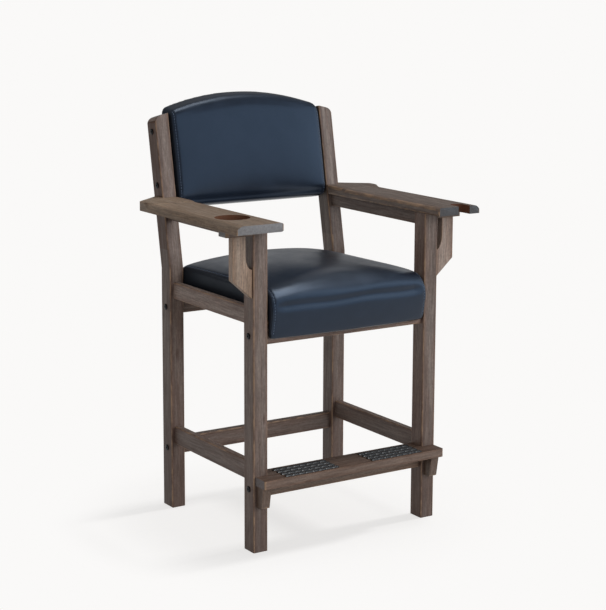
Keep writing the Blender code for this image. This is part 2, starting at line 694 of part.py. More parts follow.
# Corbels and their caps, under the arms and outside the front legs
slot_low = corbel_top - SLOT_STRAIGHT
slot_turns = [(SLOT_WIDTH * math.cos(turn), slot_low - SLOT_CURVE * math.sin(turn), 0)
              for turn in quarter_turns()[:-1]]
corbel_corners = [
    (0.0, corbel_top - CORBEL_SIDE_HEIGHT - CORBEL_CUT_HEIGHT, 0),
    (CORBEL_WIDTH, corbel_top - CORBEL_SIDE_HEIGHT, 0),
    (CORBEL_WIDTH, corbel_top, 0),
    (SLOT_WIDTH, corbel_top, 0),
    *slot_turns,
    (0.0, slot_low - SLOT_CURVE, 0),
]
cap_corners = [
    (0.0, 0.0, 0),
    (CAP_REACH, 0.0, CAP_ROUND),
    (CAP_REACH, CAP_DEPTH, CAP_ROUND),
    (0.0, CAP_DEPTH, 0),
]
for side_name, side in SIDES:
    at_leg = side * (leg_out + FIT_GAP)
    corbel_name = "corbel_" + side_name
    bm = slab(corbel_name, outline(on_side(side, corbel_corners)), CORBEL_THICKNESS, FRONT)
    place(corbel_name, to_mesh(bm, corbel_name), "stained_hardwood",
          (at_leg, CORBEL_SETBACK + CORBEL_THICKNESS / 2, 0))
    cap_name = "corbel_cap_" + side_name
    bm = slab(cap_name, outline(on_side(side, cap_corners)), CAP_THICKNESS, PLAN)
    place(cap_name, to_mesh(bm, cap_name), "stained_hardwood",
          (at_leg, 0, cap_bottom + CAP_THICKNESS / 2))

# Footrest: a board notched round the front legs, on two tapered brackets
board_end = leg_out - BOARD_END_INSET
board_neck = leg_in - FIT_GAP
half_board = [
    (board_neck, BOARD_BACK, 0),
    (board_neck, -FIT_GAP, 0),
    (board_end, -FIT_GAP, 0),
    (board_end, -BOARD_FRONT, BOARD_ROUND),
]
board_corners = half_board + [(-a, b, radius) for a, b, radius in reversed(half_board)]
board_bm = slab("footrest_board", outline(board_corners), BOARD_THICKNESS, PLAN)
place("footrest_board", to_mesh(board_bm, "footrest_board"), "stained_hardwood",
      (0, 0, BOARD_UNDERSIDE + BOARD_THICKNESS / 2))

bracket_corners = [
    (-FIT_GAP, 0.0, 0),
    (-FIT_GAP, -BRACKET_HEIGHT, 0),
    (-BRACKET_BOTTOM_DEPTH, -BRACKET_HEIGHT, BRACKET_ROUND),
    (-BRACKET_TOP_DEPTH, 0.0, 0),
]
for side_name, side in SIDES:
    bracket_name = "footrest_bracket_" + side_name
    bm = slab(bracket_name, outline(bracket_corners), BRACKET_WIDTH, SIDE)
    place(bracket_name, to_mesh(bm, bracket_name), "stained_hardwood", (side * leg_mid, 0, under_board))
    for number in range(TREAD_COUNT):
        tread_name = "tread_{}_{}".format(side_name, number + 1)
        bm = box((TREAD_LENGTH, TREAD_WIDTH, TREAD_HEIGHT))
        ease(bm, [edge for edge in bm.edges if min(vert.co.z for vert in edge.verts) > 0], TREAD_ROUND)
        place(tread_name, to_mesh(bm, tread_name), "black_rubber",
              (side * (leg_in - TREAD_END_MARGIN - TREAD_LENGTH / 2),
               -BOARD_FRONT + TREAD_FRONT_MARGIN + TREAD_WIDTH / 2 + number * TREAD_PITCH,
               board_top + FIT_GAP + TREAD_HEIGHT / 2))


def swell(station, power):
    return (1 - abs(station) ** SWELL_SPREAD) ** power


def stations():
    return [-s for s in reversed(CUSHION_STATIONS[1:])] + list(CUSHION_STATIONS)


def turn_points(centre_a, centre_b, radius, first, last):
    turns = [first + (last - first) * step / ROUND_STEPS for step in range(ROUND_STEPS + 1)]
    return [(centre_a + radius * math.cos(turn), centre_b + radius * math.sin(turn)) for turn in turns]


# Seat cushion: sections from side to side, crowned between the seams and falling over the front rail
def seat_section(station):
    fullness = swell(station, SEAT_SWELL_POWER)
    seam_inset = SEAT_SEAM_INSET * (1 - fullness)
    front = -SEAT_FRONT_PROUD + seam_inset
    hem_front = -SEAT_HEM_PROUD + seam_inset
    rear = POST_SETBACK + SEAT_BACK
    hem_back = cross_front - FIT_GAP
    rear_top = seat_seam_height + SEAT_CROWN * SEAT_REAR_SHARE * fullness
    front_top = seat_seam_height + SEAT_CROWN * SEAT_FRONT_SHARE * fullness
    rise = SEAT_CROWN * (1 - (SEAT_REAR_SHARE + SEAT_FRONT_SHARE) / 2) * fullness
    crown_rear = rear - SEAT_REAR_ROUND
    crown_front = front + SEAT_FRONT_ROUND
    shares = [step / SEAT_CROWN_STEPS for step in range(1, SEAT_CROWN_STEPS)]
    crown = []
    for share in shares:
        level = rear_top + (front_top - rear_top) * share
        crown.append((crown_rear + (crown_front - crown_rear) * share,
                      level + rise * math.sin(math.pi * share)))
    section = [(hem_back, seat_base), (rear, seat_base)]
    section += turn_points(crown_rear, rear_top - SEAT_REAR_ROUND, SEAT_REAR_ROUND, 0, math.pi / 2)
    section += crown
    # Below the roll the front panel draws back to the hem.
    face_top = front_top - SEAT_FRONT_ROUND
    section += turn_points(crown_front, face_top, SEAT_FRONT_ROUND, math.pi / 2, math.pi)
    face_low = seat_hem_height + SEAT_HEM_ROUND
    for step in range(1, SEAT_FACE_STEPS):
        share = step / SEAT_FACE_STEPS
        section.append((front + (hem_front - front) * (1 - math.cos(math.pi / 2 * share)),
                        face_top + (face_low - face_top) * share))
    section += turn_points(hem_front + SEAT_HEM_ROUND, face_low, SEAT_HEM_ROUND,
                           math.pi, 3 * math.pi / 2)
    section.append((hem_back, seat_hem_height))
    return section


def seat_ring(station):
    # The sides are drawn in a little between the corners.
    middle = (POST_SETBACK + SEAT_BACK - SEAT_FRONT_PROUD) / 2
    reach = (POST_SETBACK + SEAT_BACK + SEAT_FRONT_PROUD) / 2
    ring = []
    for y, z in seat_section(station):
        drawn_in = SEAT_DRAW_IN * (1 - ((y - middle) / reach) ** 2)
        ring.append((station * (seat_half_width - drawn_in), y, z))
    return ring


seat_panel_low = Vector((-seat_half_width, cross_front, seat_panel_bottom))
seat_panel_high = Vector((seat_half_width, post_mid, seat_panel_bottom + SEAT_PANEL_THICKNESS))
place("seat_panel", to_mesh(box(seat_panel_high - seat_panel_low), "seat_panel"), "plywood",
      (seat_panel_low + seat_panel_high) / 2)
seat_mesh = to_mesh(loft([seat_ring(station) for station in stations()]), "seat_cushion")
smooth(seat_mesh)
place("seat_cushion", seat_mesh, "navy_leather")

# Back: everything is drawn on the raked plane of the posts' front faces, X across and Z up the rake
back_bottom = up_the_rake(BACK_BOTTOM_HEIGHT)
back_corner = up_the_rake(back_corner_height)
back_top = up_the_rake(BACK_TOP_HEIGHT)
arch_rise = back_top - back_corner
arch_radius = (back_half_width ** 2 + arch_rise ** 2) / (2 * arch_rise)
back_rear = POST_DEPTH + BACK_REAR_PROUD
panel_front = POST_DEPTH / 2 - BACK_PANEL_THICKNESS / 2
panel_rear = panel_front + BACK_PANEL_THICKNESS


def arch_height(across, inset=0.0):
    return back_top - arch_radius + math.sqrt((arch_radius - inset) ** 2 - across ** 2)


# Back cushion: sections from side to side under the arch, crowned to the front
def back_ring(station):
    fullness = swell(station, BACK_SWELL_POWER)
    across = station * back_half_width
    past_round = max(0.0, abs(across) - (back_half_width - BACK_CORNER_ROUND))
    corner_drop = BACK_CORNER_ROUND - math.sqrt(max(0.0, BACK_CORNER_ROUND ** 2 - past_round ** 2))
    past_side = max(0.0, abs(across) - (back_half_width - BACK_SIDE_ROUND))
    inset = BACK_SIDE_ROUND - math.sqrt(max(0.0, BACK_SIDE_ROUND ** 2 - past_side ** 2))
    top = arch_height(across) - max(corner_drop, inset)
    bottom = back_bottom + inset
    front = -BACK_SEAM_PROUD + inset
    rear = back_rear - inset
    face_low = bottom + BACK_FRONT_ROUND
    face_high = top - BACK_FRONT_ROUND
    shares = [step / BACK_FACE_STEPS for step in range(1, BACK_FACE_STEPS)]
    face = [(front - BACK_CROWN * fullness * math.sin(math.pi * share) ** BACK_SWELL_POWER,
             face_low + (face_high - face_low) * share) for share in shares]
    section = turn_points(rear - BACK_REAR_ROUND, bottom + BACK_REAR_ROUND, BACK_REAR_ROUND,
                          0, -math.pi / 2)
    section += turn_points(front + BACK_FRONT_ROUND, bottom + BACK_FRONT_ROUND, BACK_FRONT_ROUND,
                           -math.pi / 2, -math.pi)
    section += face
    section += turn_points(front + BACK_FRONT_ROUND, top - BACK_FRONT_ROUND, BACK_FRONT_ROUND,
                           math.pi, math.pi / 2)
    rear_top = top + BACK_REAR_RISE
    section += turn_points(rear - BACK_REAR_ROUND, rear_top - BACK_REAR_ROUND, BACK_REAR_ROUND,
                           math.pi / 2, 0)
    middle = (back_bottom + back_corner) / 2
    reach = (back_corner - back_bottom) / 2
    ring = []
    for depth, up in section:
        drawn_in = BACK_DRAW_IN * max(0.0, 1 - ((up - middle) / reach) ** 2)
        ring.append((station * (back_half_width - drawn_in), depth, up))
    return ring


# The core and the cover share one arched outline, inside the cushion's wall
def back_outline(inset):
    half_width = back_half_width - inset
    spread = [half_width * (1 - 2 * step / ARCH_STEPS) for step in range(ARCH_STEPS + 1)]
    arch = [Vector((across, arch_height(across, inset))) for across in spread]
    foot = back_bottom + inset
    return [Vector((-half_width, foot)), Vector((half_width, foot))] + arch


back_mesh = to_mesh(loft([back_ring(station) for station in stations()]), "back_cushion")
smooth(back_mesh)
back_cushion = place("back_cushion", back_mesh, "navy_leather", parent=back_frame)
pocket_depth = back_rear + CUT_MARGIN - (panel_front - FIT_GAP)
pocket_mesh = to_mesh(slab("back_pocket", back_outline(BACK_WALL), pocket_depth, FRONT), "back_pocket")
pocket_place = (0, panel_front - FIT_GAP + pocket_depth / 2, 0)
cut(back_cushion, place_cutter("back_pocket", pocket_mesh, pocket_place, parent=back_frame))

layer_outline = back_outline(BACK_WALL + FIT_GAP)
panel_mesh = to_mesh(slab("back_panel", layer_outline, BACK_PANEL_THICKNESS, FRONT), "back_panel")
back_panel = place("back_panel", panel_mesh, "plywood", (0, POST_DEPTH / 2, 0), parent=back_frame)
cover_thickness = back_rear - panel_rear - FIT_GAP
cover_mesh = to_mesh(slab("back_cover", layer_outline, cover_thickness, FRONT), "back_cover")
cover_place = (0, back_rear - cover_thickness / 2, 0)
place("back_cover", cover_mesh, "navy_leather", cover_place, parent=back_frame)

for side_name, side in SIDES:
    bolt_levels = (("lower", back_bottom + BACK_BOLT_RISE), ("upper", back_corner - BACK_BOLT_DROP))
    for level_name, level in bolt_levels:
        add_bolt("bolt_back_" + level_name + "_" + side_name, side, POST_DEPTH / 2, level,
                 (rear_posts[side], back_cushion, back_panel), parent=back_frame)


# The origin is on the floor, under the middle of the finished chair
def depth_limits():
    depsgraph = bpy.context.evaluated_depsgraph_get()
    depths = []
    for piece in chair.objects:
        if piece.type == "MESH":
            ready = piece.evaluated_get(depsgraph)
            depths += [(ready.matrix_world @ vert.co).y for vert in ready.data.vertices]
    return min(depths), max(depths)


bpy.context.view_layer.update()
nearest, furthest = depth_limits()
root.location.y = -(nearest + furthest) / 2
bpy.context.view_layer.update()
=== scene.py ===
import bmesh
import bpy
import math
import random
import numpy as np
from mathutils import Matrix, Vector, kdtree
from mathutils.bvhtree import BVHTree


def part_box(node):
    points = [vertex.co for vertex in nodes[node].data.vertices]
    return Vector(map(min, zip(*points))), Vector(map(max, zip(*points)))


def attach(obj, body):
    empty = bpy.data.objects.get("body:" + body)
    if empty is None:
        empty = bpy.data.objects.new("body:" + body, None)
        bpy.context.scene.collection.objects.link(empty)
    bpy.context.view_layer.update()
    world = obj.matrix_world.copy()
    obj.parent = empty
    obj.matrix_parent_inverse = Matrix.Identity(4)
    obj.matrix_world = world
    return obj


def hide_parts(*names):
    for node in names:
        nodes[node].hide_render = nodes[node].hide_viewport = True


# Billiard spectator chair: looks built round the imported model. Metres, +Z up, the chair faces -Y.
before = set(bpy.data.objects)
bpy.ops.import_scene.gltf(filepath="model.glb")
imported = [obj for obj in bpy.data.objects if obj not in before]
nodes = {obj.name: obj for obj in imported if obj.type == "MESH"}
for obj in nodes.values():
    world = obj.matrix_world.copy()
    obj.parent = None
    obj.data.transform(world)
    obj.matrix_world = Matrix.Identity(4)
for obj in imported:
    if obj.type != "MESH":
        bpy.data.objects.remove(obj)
scene = bpy.context.scene
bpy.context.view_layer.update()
print("frame loaded:", len(nodes), "nodes")

mm = 0.001
frontFace = -0.277916   # the front face of the front legs, from which the chair was drawn
sideSigns = {"left": -1, "right": 1}


# Small helpers

def toLinear(hexCode):
    channels = [int(hexCode[i:i + 2], 16) / 255 for i in (1, 3, 5)]
    return tuple(c / 12.92 if c <= 0.04045 else ((c + 0.055) / 1.055) ** 2.4 for c in channels) + (1.0,)


def setInputs(tree, node, inputs):
    # a node or a socket is linked, anything else is a value
    for socket, given in inputs.items():
        if isinstance(given, bpy.types.Node):
            given = given.outputs[0]
        if isinstance(given, bpy.types.NodeSocket):
            tree.links.new(given, node.inputs[socket])
        else:
            node.inputs[socket].default_value = given


def addNode(tree, kind, inputs=None, **settings):
    node = tree.nodes.new("ShaderNode" + kind)
    for name, value in settings.items():
        setattr(node, name, value)
    setInputs(tree, node, inputs or {})
    return node


def newMaterial(name):
    material = bpy.data.materials.new(name)
    material.use_nodes = True
    tree = material.node_tree
    return material, tree, tree.nodes["Principled BSDF"]


def makeTwoTone(name, look, values):
    # a colour that wavers between two tones in small patches
    material, tree, shader = newMaterial(name)
    spot = addNode(tree, "TexCoord").outputs["Object"]
    patch = addNode(tree, "TexNoise", {"Vector": spot, "Scale": 1000 / look["patch"], **look["breakUp"]})
    colour = addNode(tree, "Mix", {0: patch, 6: toLinear(look["dark"]), 7: toLinear(look["light"])},
                     data_type="RGBA").outputs[2]
    setInputs(tree, shader, {"Base Color": colour, **values})
    return material, tree, shader, patch


def perMetre(*sizes):
    # pattern cells of these sizes in mm, as a scale for coordinates in metres
    return tuple(1000.0 / size for size in sizes)


def meshObject(name, mesh, material, replaced=()):
    piece = bpy.data.objects.new(name, mesh)
    scene.collection.objects.link(piece)
    mesh.materials.append(material)
    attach(piece, "root")
    if replaced:
        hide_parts(*replaced)
    return piece


def joinRings(bm, rings):
    # bands of faces from ring to ring, closed at both ends
    for near, far in zip(rings, rings[1:]):
        for k in range(len(near)):
            after = (k + 1) % len(near)
            bm.faces.new((near[k], near[after], far[after], far[k]))
    return [bm.faces.new(rings[0]), bm.faces.new(rings[-1])]


def bmeshToMesh(bm, name, sharpFrom=None):
    bmesh.ops.recalc_face_normals(bm, faces=bm.faces)
    mesh = bpy.data.meshes.new(name)
    bm.to_mesh(mesh)
    bm.free()
    if sharpFrom:   # smooth, apart from corners of this many degrees
        mesh.shade_smooth()
        mesh.set_sharp_from_angle(angle=math.radians(sharpFrom))
    return mesh


def camelName(nodeName):
    first, *rest = nodeName.split("_")
    return first + "".join(word.capitalize() for word in rest)


# Camera: fitted to the edges of the legs, rails and arms in the photograph
cameraView = {"place": (-2.61305, -4.09034, 1.59740), "azimuth": 0.57391, "down": 0.16992,
              "roll": 0.00381, "lens": 99.598, "shift": (-0.00143, -0.08)}


def makeCamera():
    view = cameraView
    data = bpy.data.cameras.new("chairCamera")
    camera = bpy.data.objects.new("chairCamera", data)
    scene.collection.objects.link(camera)
    az, down = view["azimuth"], view["down"]
    ahead = Vector((math.sin(az) * math.cos(down), math.cos(az) * math.cos(down), -math.sin(down)))
    right = Vector((math.cos(az), -math.sin(az), 0))
    up = right.cross(ahead)
    turned = Matrix.Rotation(view["roll"], 3, ahead)
    right, up = turned.inverted() @ right, turned.inverted() @ up
    camera.matrix_world = Matrix((right, up, -ahead)).transposed().to_4x4()
    camera.location = view["place"]
    data.lens = view["lens"]
    data.sensor_width = 36
    data.shift_x, data.shift_y = view["shift"]
    data.clip_end = 200
    scene.camera = camera


makeCamera()


# Stage: a pale seamless floor that takes a faint shadow, and soft studio light from far off.
# The key comes low from the viewer's right; the front fill leaves the floor alone, so one shadow falls.
stageLook = {"pale": "#FAF9F8", "bounce": "#C6C5C4", "floorHalf": 40.0, "floorDrop": 0.5 * mm,
             "shadowShare": 0.46, "shadowReach": (0.46, 0.74), "worldStrength": 0.16, "worldSheen": 0.04,
             "floorSheen": 0.80, "lampsAway": 6.0}
# Each lamp: where it comes from, level, spread in degrees and tint; "body" lights matt colour only and
# "shine" gloss only; "all" takes in the floor, "chair" leaves it out, and "seat" is flagged to the seat
# alone, apart from the front softbox, which lights the treads too.
lamps = {
    "sideKey": ((0.86, -0.03, 0.50), 1.30, 7, (1.0, 0.99, 0.98), "body", "all"),
    "overheadKey": ((0.20, 0.0, 0.98), 0.50, 26, (0.97, 0.99, 1.0), "body", "all"),
    "overheadSoftbox": ((0.19, 0.10, 0.98), 0.95, 30, (0.97, 0.99, 1.0), "shine", "chair"),
    "frontSoftbox": ((0.12, -0.36, 0.92), 2.3, 42, (0.97, 0.99, 1.0), "shine", "seat"),
    "ceilingFill": ((0.0, -0.25, 0.97), 0.90, 150, (1.0, 1.0, 1.0), "body", "chair"),
    "frontFill": ((0.34, -0.88, 0.32), 1.75, 40, (0.95, 0.98, 1.0), "body", "chair"),
    "leftFill": ((-0.88, -0.40, 0.25), 0.62, 60, (1.0, 0.98, 0.97), "body", "chair"),
    "frontWindow": ((0.53, -0.83, 0.14), 1.2, 72, (0.60, 0.80, 1.0), "shine", "chair"),
    "frontStrip": ((0.57, -0.64, 0.51), 0.13, 22, (0.80, 0.92, 1.0), "shine", "seat"),
    "sideStrip": ((0.74, 0.41, 0.50), 0.13, 18, (0.80, 0.92, 1.0), "shine", "seat"),
    "sideWindow": ((0.92, -0.25, 0.15), 0.50, 50, (0.60, 0.80, 1.0), "shine", "chair"),
    "rearWindow": ((0.53, 0.76, 0.38), 0.10, 28, (1.0, 1.0, 1.0), "shine", "seat"),
}


def backgroundShare(tree, sheen):
    # what the camera sees in full, and polished surfaces in part, as the pale backdrop
    path = addNode(tree, "LightPath")
    direct = addNode(tree, "Math", {0: path.outputs["Is Camera Ray"], 1: path.outputs["Is Transmission Ray"]},
                     operation="MAXIMUM")
    return addNode(tree, "Math", {0: path.outputs["Is Glossy Ray"], 1: sheen, 2: direct},
                   operation="MULTIPLY_ADD", use_clamp=True)


def makeStage():
    look = stageLook
    pale = toLinear(look["pale"])
    world = bpy.data.worlds.new("paleStudio")
    scene.world = world
    world.use_nodes = True
    tree = world.node_tree
    tree.nodes.clear()
    lit = addNode(tree, "Background", {"Color": (1, 1, 1, 1), "Strength": look["worldStrength"]})
    shown = addNode(tree, "Background", {"Color": pale, "Strength": 1.0})
    mix = addNode(tree, "MixShader", {0: backgroundShare(tree, look["worldSheen"]), 1: lit, 2: shown})
    addNode(tree, "OutputWorld", {"Surface": mix})

    bm = bmesh.new()
    bmesh.ops.create_circle(bm, cap_ends=True, segments=96, radius=look["floorHalf"])
    floor = bpy.data.objects.new("studioFloor", bmeshToMesh(bm, "studioFloor"))
    scene.collection.objects.link(floor)
    floor.location.z = -look["floorDrop"]

    onFloor = look["worldStrength"]
    for name, (comesFrom, level, spread, tint, lights, reach) in lamps.items():
        data = bpy.data.lights.new(name, "SUN")
        data.energy, data.angle, data.color = level, math.radians(spread), tint
        light = bpy.data.objects.new(name, data)
        scene.collection.objects.link(light)
        towards = Vector(comesFrom).normalized()
        light.location = towards * look["lampsAway"]
        light.rotation_euler = (-towards).to_track_quat("-Z", "Y").to_euler()
        light.visible_glossy = lights != "body"
        light.visible_diffuse = lights != "shine"
        if reach == "all":
            onFloor += level * towards.z / math.pi
            continue
        reached = bpy.data.collections.new(name + "Lights")
        if reach == "chair":
            reached.objects.link(floor)
            reached.collection_objects[0].light_linking.link_state = "EXCLUDE"
        light.light_linking.receiver_collection = reached

    material, tree, shader = newMaterial("paperSweepMatt")   # matt paper sweep: even and pale
    tree.nodes.remove(shader)
    spot = addNode(tree, "TexCoord").outputs["Object"]
    away = addNode(tree, "VectorMath", {0: spot}, operation="LENGTH").outputs["Value"]
    near, far = look["shadowReach"]
    share = addNode(tree, "MapRange", {0: away, 1: near, 2: far, 3: look["shadowShare"], 4: 0.0},
                    interpolation_type="SMOOTHSTEP")
    tone = addNode(tree, "VectorMath", {0: pale[:3], "Scale": share}, operation="SCALE")
    diffuse = addNode(tree, "BsdfDiffuse", {"Color": tone})
    # the glow makes up what the lamps leave, so the bare floor is the same pale tone everywhere
    rest = addNode(tree, "Math", {0: share, 1: -onFloor, 2: 1.0}, operation="MULTIPLY_ADD")
    glow = addNode(tree, "Emission", {"Color": pale, "Strength": rest})
    soft = addNode(tree, "AddShader", {0: glow, 1: diffuse})
    bounce = addNode(tree, "BsdfDiffuse", {"Color": toLinear(look["bounce"])})
    whole = addNode(tree, "MixShader", {0: backgroundShare(tree, look["floorSheen"]), 1: bounce, 2: soft})
    setInputs(tree, tree.nodes["Material Output"], {"Surface": whole})
    floor.data.materials.append(material)
    scene.view_settings.view_transform = "Standard"
    print("stage: floor and", len(lamps), "lamps")


makeStage()


# Wood: rubberwood, brushed, stained brown with a grey wash and lacquered satin.
# The wash lies on the middle of each face and is rubbed off towards the arrises, which show
# tan wood; fine fibres run along the grain, and end grain drinks more of the grey.
# Painted light on the wood: tops, left sides and some pieces are made lighter or darker, the low wood and the
# left sides darker and redder, bored hollows redder and the cup's rim pale, as painted light and shade.
woodLook = {
    "deepBrown": "#4F3D35", "brown": "#665147",
    # marks: their size along, across and through the grain in mm, and how broken up they are
    "marks": {
        "plank": ((330, 22, 22), 4.0), "washPatch": ((210, 15, 15), 4.0), "wearPatch": ((34, 12, 12), 3.0),
        "fibre": ((80, 4.4, 4.4), 3.0),    # real fibres are finer, drawn wider so that they show
        "hair": ((34, 2.6, 2.6), 2.0),     # brush marks, drawn wider too
        "pore": ((18, 2.2, 2.2), 2.0),     # real pores are 0.3 mm wide, drawn wider so that they show
        "mottle": ((7, 5, 5), 2.0)},
    "fleckSpacing": (110, 34, 34),
    # how far each mark counts: its source, the range that is read, and what that becomes
    "levels": {
        "planks": ("plank", 0.34, 0.62, 0.0, 1.0), "wash": ("washPatch", 0.34, 0.62, 0.28, 0.72),
        "offArris": ("toArris", 1.0, 0.35, 0.15, 1.0), "fleckChosen": ("fleckPick", 0.80, 0.82, 0.0, 1.0),
        "fleckNear": ("fleckAway", 0.05, 0.22, 0.6, 0.0), "fibres": ("fibre", 0.32, 0.68, 0.84, 1.16),
        "hairs": ("hair", 0.32, 0.68, 0.84, 1.16), "mottles": ("mottle", 0.32, 0.68, 0.90, 1.10),
        # the darkening and reddening towards the floor on the next line is painted shade
        "pores": ("pore", 0.58, 0.72, 0.0, 0.45), "scuffs": ("height", 0.04, 0.50, 0.50, 0.0),
        "wearing": ("wearPatch", 0.36, 0.66, 0.12, 0.80), "gloss": ("fibre", 0.3, 0.7, 0.58, 0.40)},
    # what is laid on, from the first stain to the rubbed arrises: a colour and its share, or None and a shade;
    # the tone, the shade near the floor and part of the red are painted light and shade
    "coats": (("#7B7069", "washed"), ("#6C5B45", "warmth"), ("#3B261D", "flecked"), (None, "fibres"),
              (None, "hairs"), ("#6A6C70", "endGrain"), (None, "mottles"), (None, "tone"), ("#30241E", "pores"),
              ("#3A241B", "scuffs"), ("#56301B", "red"), ("#937860", "rubbed")),
}
woodValues = ("worn", "endGrain", "red", "warmth", "tone")   # set on each face by makeWoodPiece


def makeWood():
    look = woodLook
    material, tree, shader = newMaterial("rubberwoodBrushedStained")
    grain = addNode(tree, "Attribute", attribute_name="grain").outputs["Vector"]
    source = {}
    for name, (sizes, detail) in look["marks"].items():
        stretched = addNode(tree, "VectorMath", {0: grain, 1: perMetre(*sizes)}, operation="MULTIPLY")
        source[name] = addNode(tree, "TexNoise",
                               {"Scale": 1.0, "Detail": detail, "Roughness": 0.55, "Vector": stretched})
    spaced = addNode(tree, "VectorMath", {0: grain, 1: perMetre(*look["fleckSpacing"])}, operation="MULTIPLY")
    flecks = addNode(tree, "TexVoronoi", {"Scale": 1.0, "Randomness": 1.0, "Vector": spaced})
    source["fleckPick"] = addNode(tree, "SeparateXYZ", {0: flecks.outputs["Color"]})
    source["fleckAway"] = flecks.outputs["Distance"]
    # -1 to 1 across and through the piece: the smaller of the two is 1 only at an arris
    section = addNode(tree, "Attribute", attribute_name="section").outputs["Vector"]
    sides = addNode(tree, "VectorMath", {0: section}, operation="ABSOLUTE")
    split = addNode(tree, "SeparateXYZ", {0: sides})
    source["toArris"] = addNode(tree, "Math", {0: split, 1: split.outputs[1]}, operation="MINIMUM")
    spot = addNode(tree, "TexCoord").outputs["Object"]
    source["height"] = addNode(tree, "SeparateXYZ", {0: spot}).outputs[2]

    share = {name: addNode(tree, "Attribute", attribute_name=name).outputs["Fac"] for name in woodValues}
    for name, (mark, first, last, firstTo, lastTo) in look["levels"].items():
        share[name] = addNode(tree, "MapRange", {0: source[mark], 1: first, 2: last, 3: firstTo, 4: lastTo},
                              interpolation_type="SMOOTHSTEP")
    for name, one, other in (("washed", "wash", "offArris"), ("flecked", "fleckChosen", "fleckNear"),
                             ("rubbed", "worn", "wearing")):
        share[name] = addNode(tree, "Math", {0: share[one], 1: share[other]}, operation="MULTIPLY")
    colour = addNode(tree, "Mix",
                     {0: share["planks"], 6: toLinear(look["deepBrown"]), 7: toLinear(look["brown"])},
                     data_type="RGBA").outputs[2]
    for tint, name in look["coats"]:
        if tint:
            colour = addNode(tree, "Mix", {0: share[name], 6: colour, 7: toLinear(tint)},
                             data_type="RGBA").outputs[2]
        else:
            colour = addNode(tree, "VectorMath", {0: colour, "Scale": share[name]},
                             operation="SCALE").outputs[0]
    furrow = addNode(tree, "Math", {0: source["fibre"], 1: share["pores"]}, operation="SUBTRACT")
    bump = addNode(tree, "Bump", {"Strength": 0.3, "Distance": 0.5 * mm, "Height": furrow})
    setInputs(tree, shader, {"Base Color": colour, "Roughness": share["gloss"], "Normal": bump, "IOR": 1.5,
                             "Specular IOR Level": 0.34})
    return material


wood = makeWood()

# Which way the grain runs, how sharp edges are rounded (mm), how olive or red the stain came out,
# and how light the faces (tone), tops, left sides and sawn ends are beside the rest; the red on left sides
# and the tones of tops, left sides, corbels, rails and front stretcher are painted light and shade
woodPieces = {
    # the left sides are painted darker or lighter, and redder: painted light and shade
    "front_leg_left": {"grain": "Z", "tone": 1.02, "leftTone": 0.93, "leftRed": 0.12},
    "front_leg_right": {"grain": "Z", "tone": 1.0, "leftTone": 1.12, "leftRed": 0.22},
    # the left side, darkest and reddest above the split, is painted shade
    "rear_post_left": {"grain": "Z", "ease": 2.0, "tone": 1.05, "red": 0.09, "leftTone": 0.66, "split": 0.78,
                       "upperLeftTone": 0.46, "upperLeftRed": 0.35},
    "rear_post_right": {"grain": "Z", "ease": 2.0, "tone": 1.05, "leftTone": 0.92, "split": 0.78,
                        "upperLeftTone": 0.7},
    # its top is painted lighter: painted light
    "arm_cup_left": {"grain": "Y", "ease": 2.2, "under": 4.0, "inner": 8.0, "warmth": 0.5, "tone": 1.14,
                     "topTone": 1.36, "endTone": 1.18},
    "arm_cue_right": {"grain": "Y", "ease": 2.2, "under": 4.0, "inner": 5.0, "warmth": 0.1, "tone": 0.80,
                      "endTone": 0.42},
    # made darker and redder where the arms shade it: painted shade
    "arm_rail": {"grain": "Y", "tone": 0.70, "red": 0.1},
    "corbel_cap": {"grain": "X", "ease": 1.8, "warmth": 0.2, "tone": 1.0},
    # the corbels are made lighter where the arms shade them: painted light
    "corbel_left": {"grain": "Z", "ease": 2.4, "warmth": 0.30, "tone": 1.95},
    "corbel_right": {"grain": "Z", "ease": 2.4, "warmth": 0.1, "tone": 1.65},
    # made lighter where the seat shades it: painted light
    "seat_rail": {"grain": "long", "tone": 1.28, "red": 0.08},
    "side_stretcher": {"grain": "Y", "tone": 1.0},
    "rear_stretcher": {"grain": "X", "tone": 1.15},
    # made lighter where the board shades it: painted light
    "front_stretcher": {"grain": "X", "warmth": 0.3, "tone": 1.35, "deeper": 4.5},
    # its top is painted darker: painted shade
    "footrest_board": {"grain": "X", "ease": 2.5, "warmth": 0.22, "red": 0.12, "tone": 1.19, "topTone": 0.78},
    "footrest_bracket": {"grain": "Z", "ease": 2.4, "warmth": 0.25, "tone": 1.05},
}
edgeRule = {"flatAngle": math.radians(0.5), "sharpAngle": math.radians(50), "sharpFrom": 40,
            "shortest": 6 * mm, "stripWidth": 2.7 * mm, "stripLength": 9 * mm}
# how squarely a face must look one way, how grey sawn ends are, and how red bored faces are, that red being
# partly bare wood and partly painted shade of the hollow
faceRule = {"facing": 0.9, "endGrain": 0.75, "boredRed": 0.85, "rimLean": (0.2, 0.97)}
socketRule = {"beside": 3 * mm, "above": 2 * mm, "postFrom": 0.03, "postTo": 1.08}
postBend = {"height": 0.727, "rake": math.radians(10.8), "front": 0.19308, "depth": 0.0548, "behind": 0.15}
cupHole = {"x": -0.327, "y": -0.1979, "radius": 0.0505, "floor": 0.9105, "lip": 0.9275, "rim": 4 * mm}
cueNotch = {"x": 0.347, "halfWidth": 0.0215, "end": -0.297}


def outerEdges(bm, hidden):
    # long convex corners, leaving out the sockets that another piece fills
    found = []
    for edge in bm.edges:
        if len(edge.link_faces) != 2 or edge.calc_length() < edgeRule["shortest"]:
            continue
        if edge.calc_face_angle_signed() < edgeRule["sharpAngle"]:
            continue
        middle = (edge.verts[0].co + edge.verts[1].co) / 2
        if not any(all(low[i] <= middle[i] <= high[i] for i in range(3)) for low, high in hidden):
            found.append(edge)
    return found


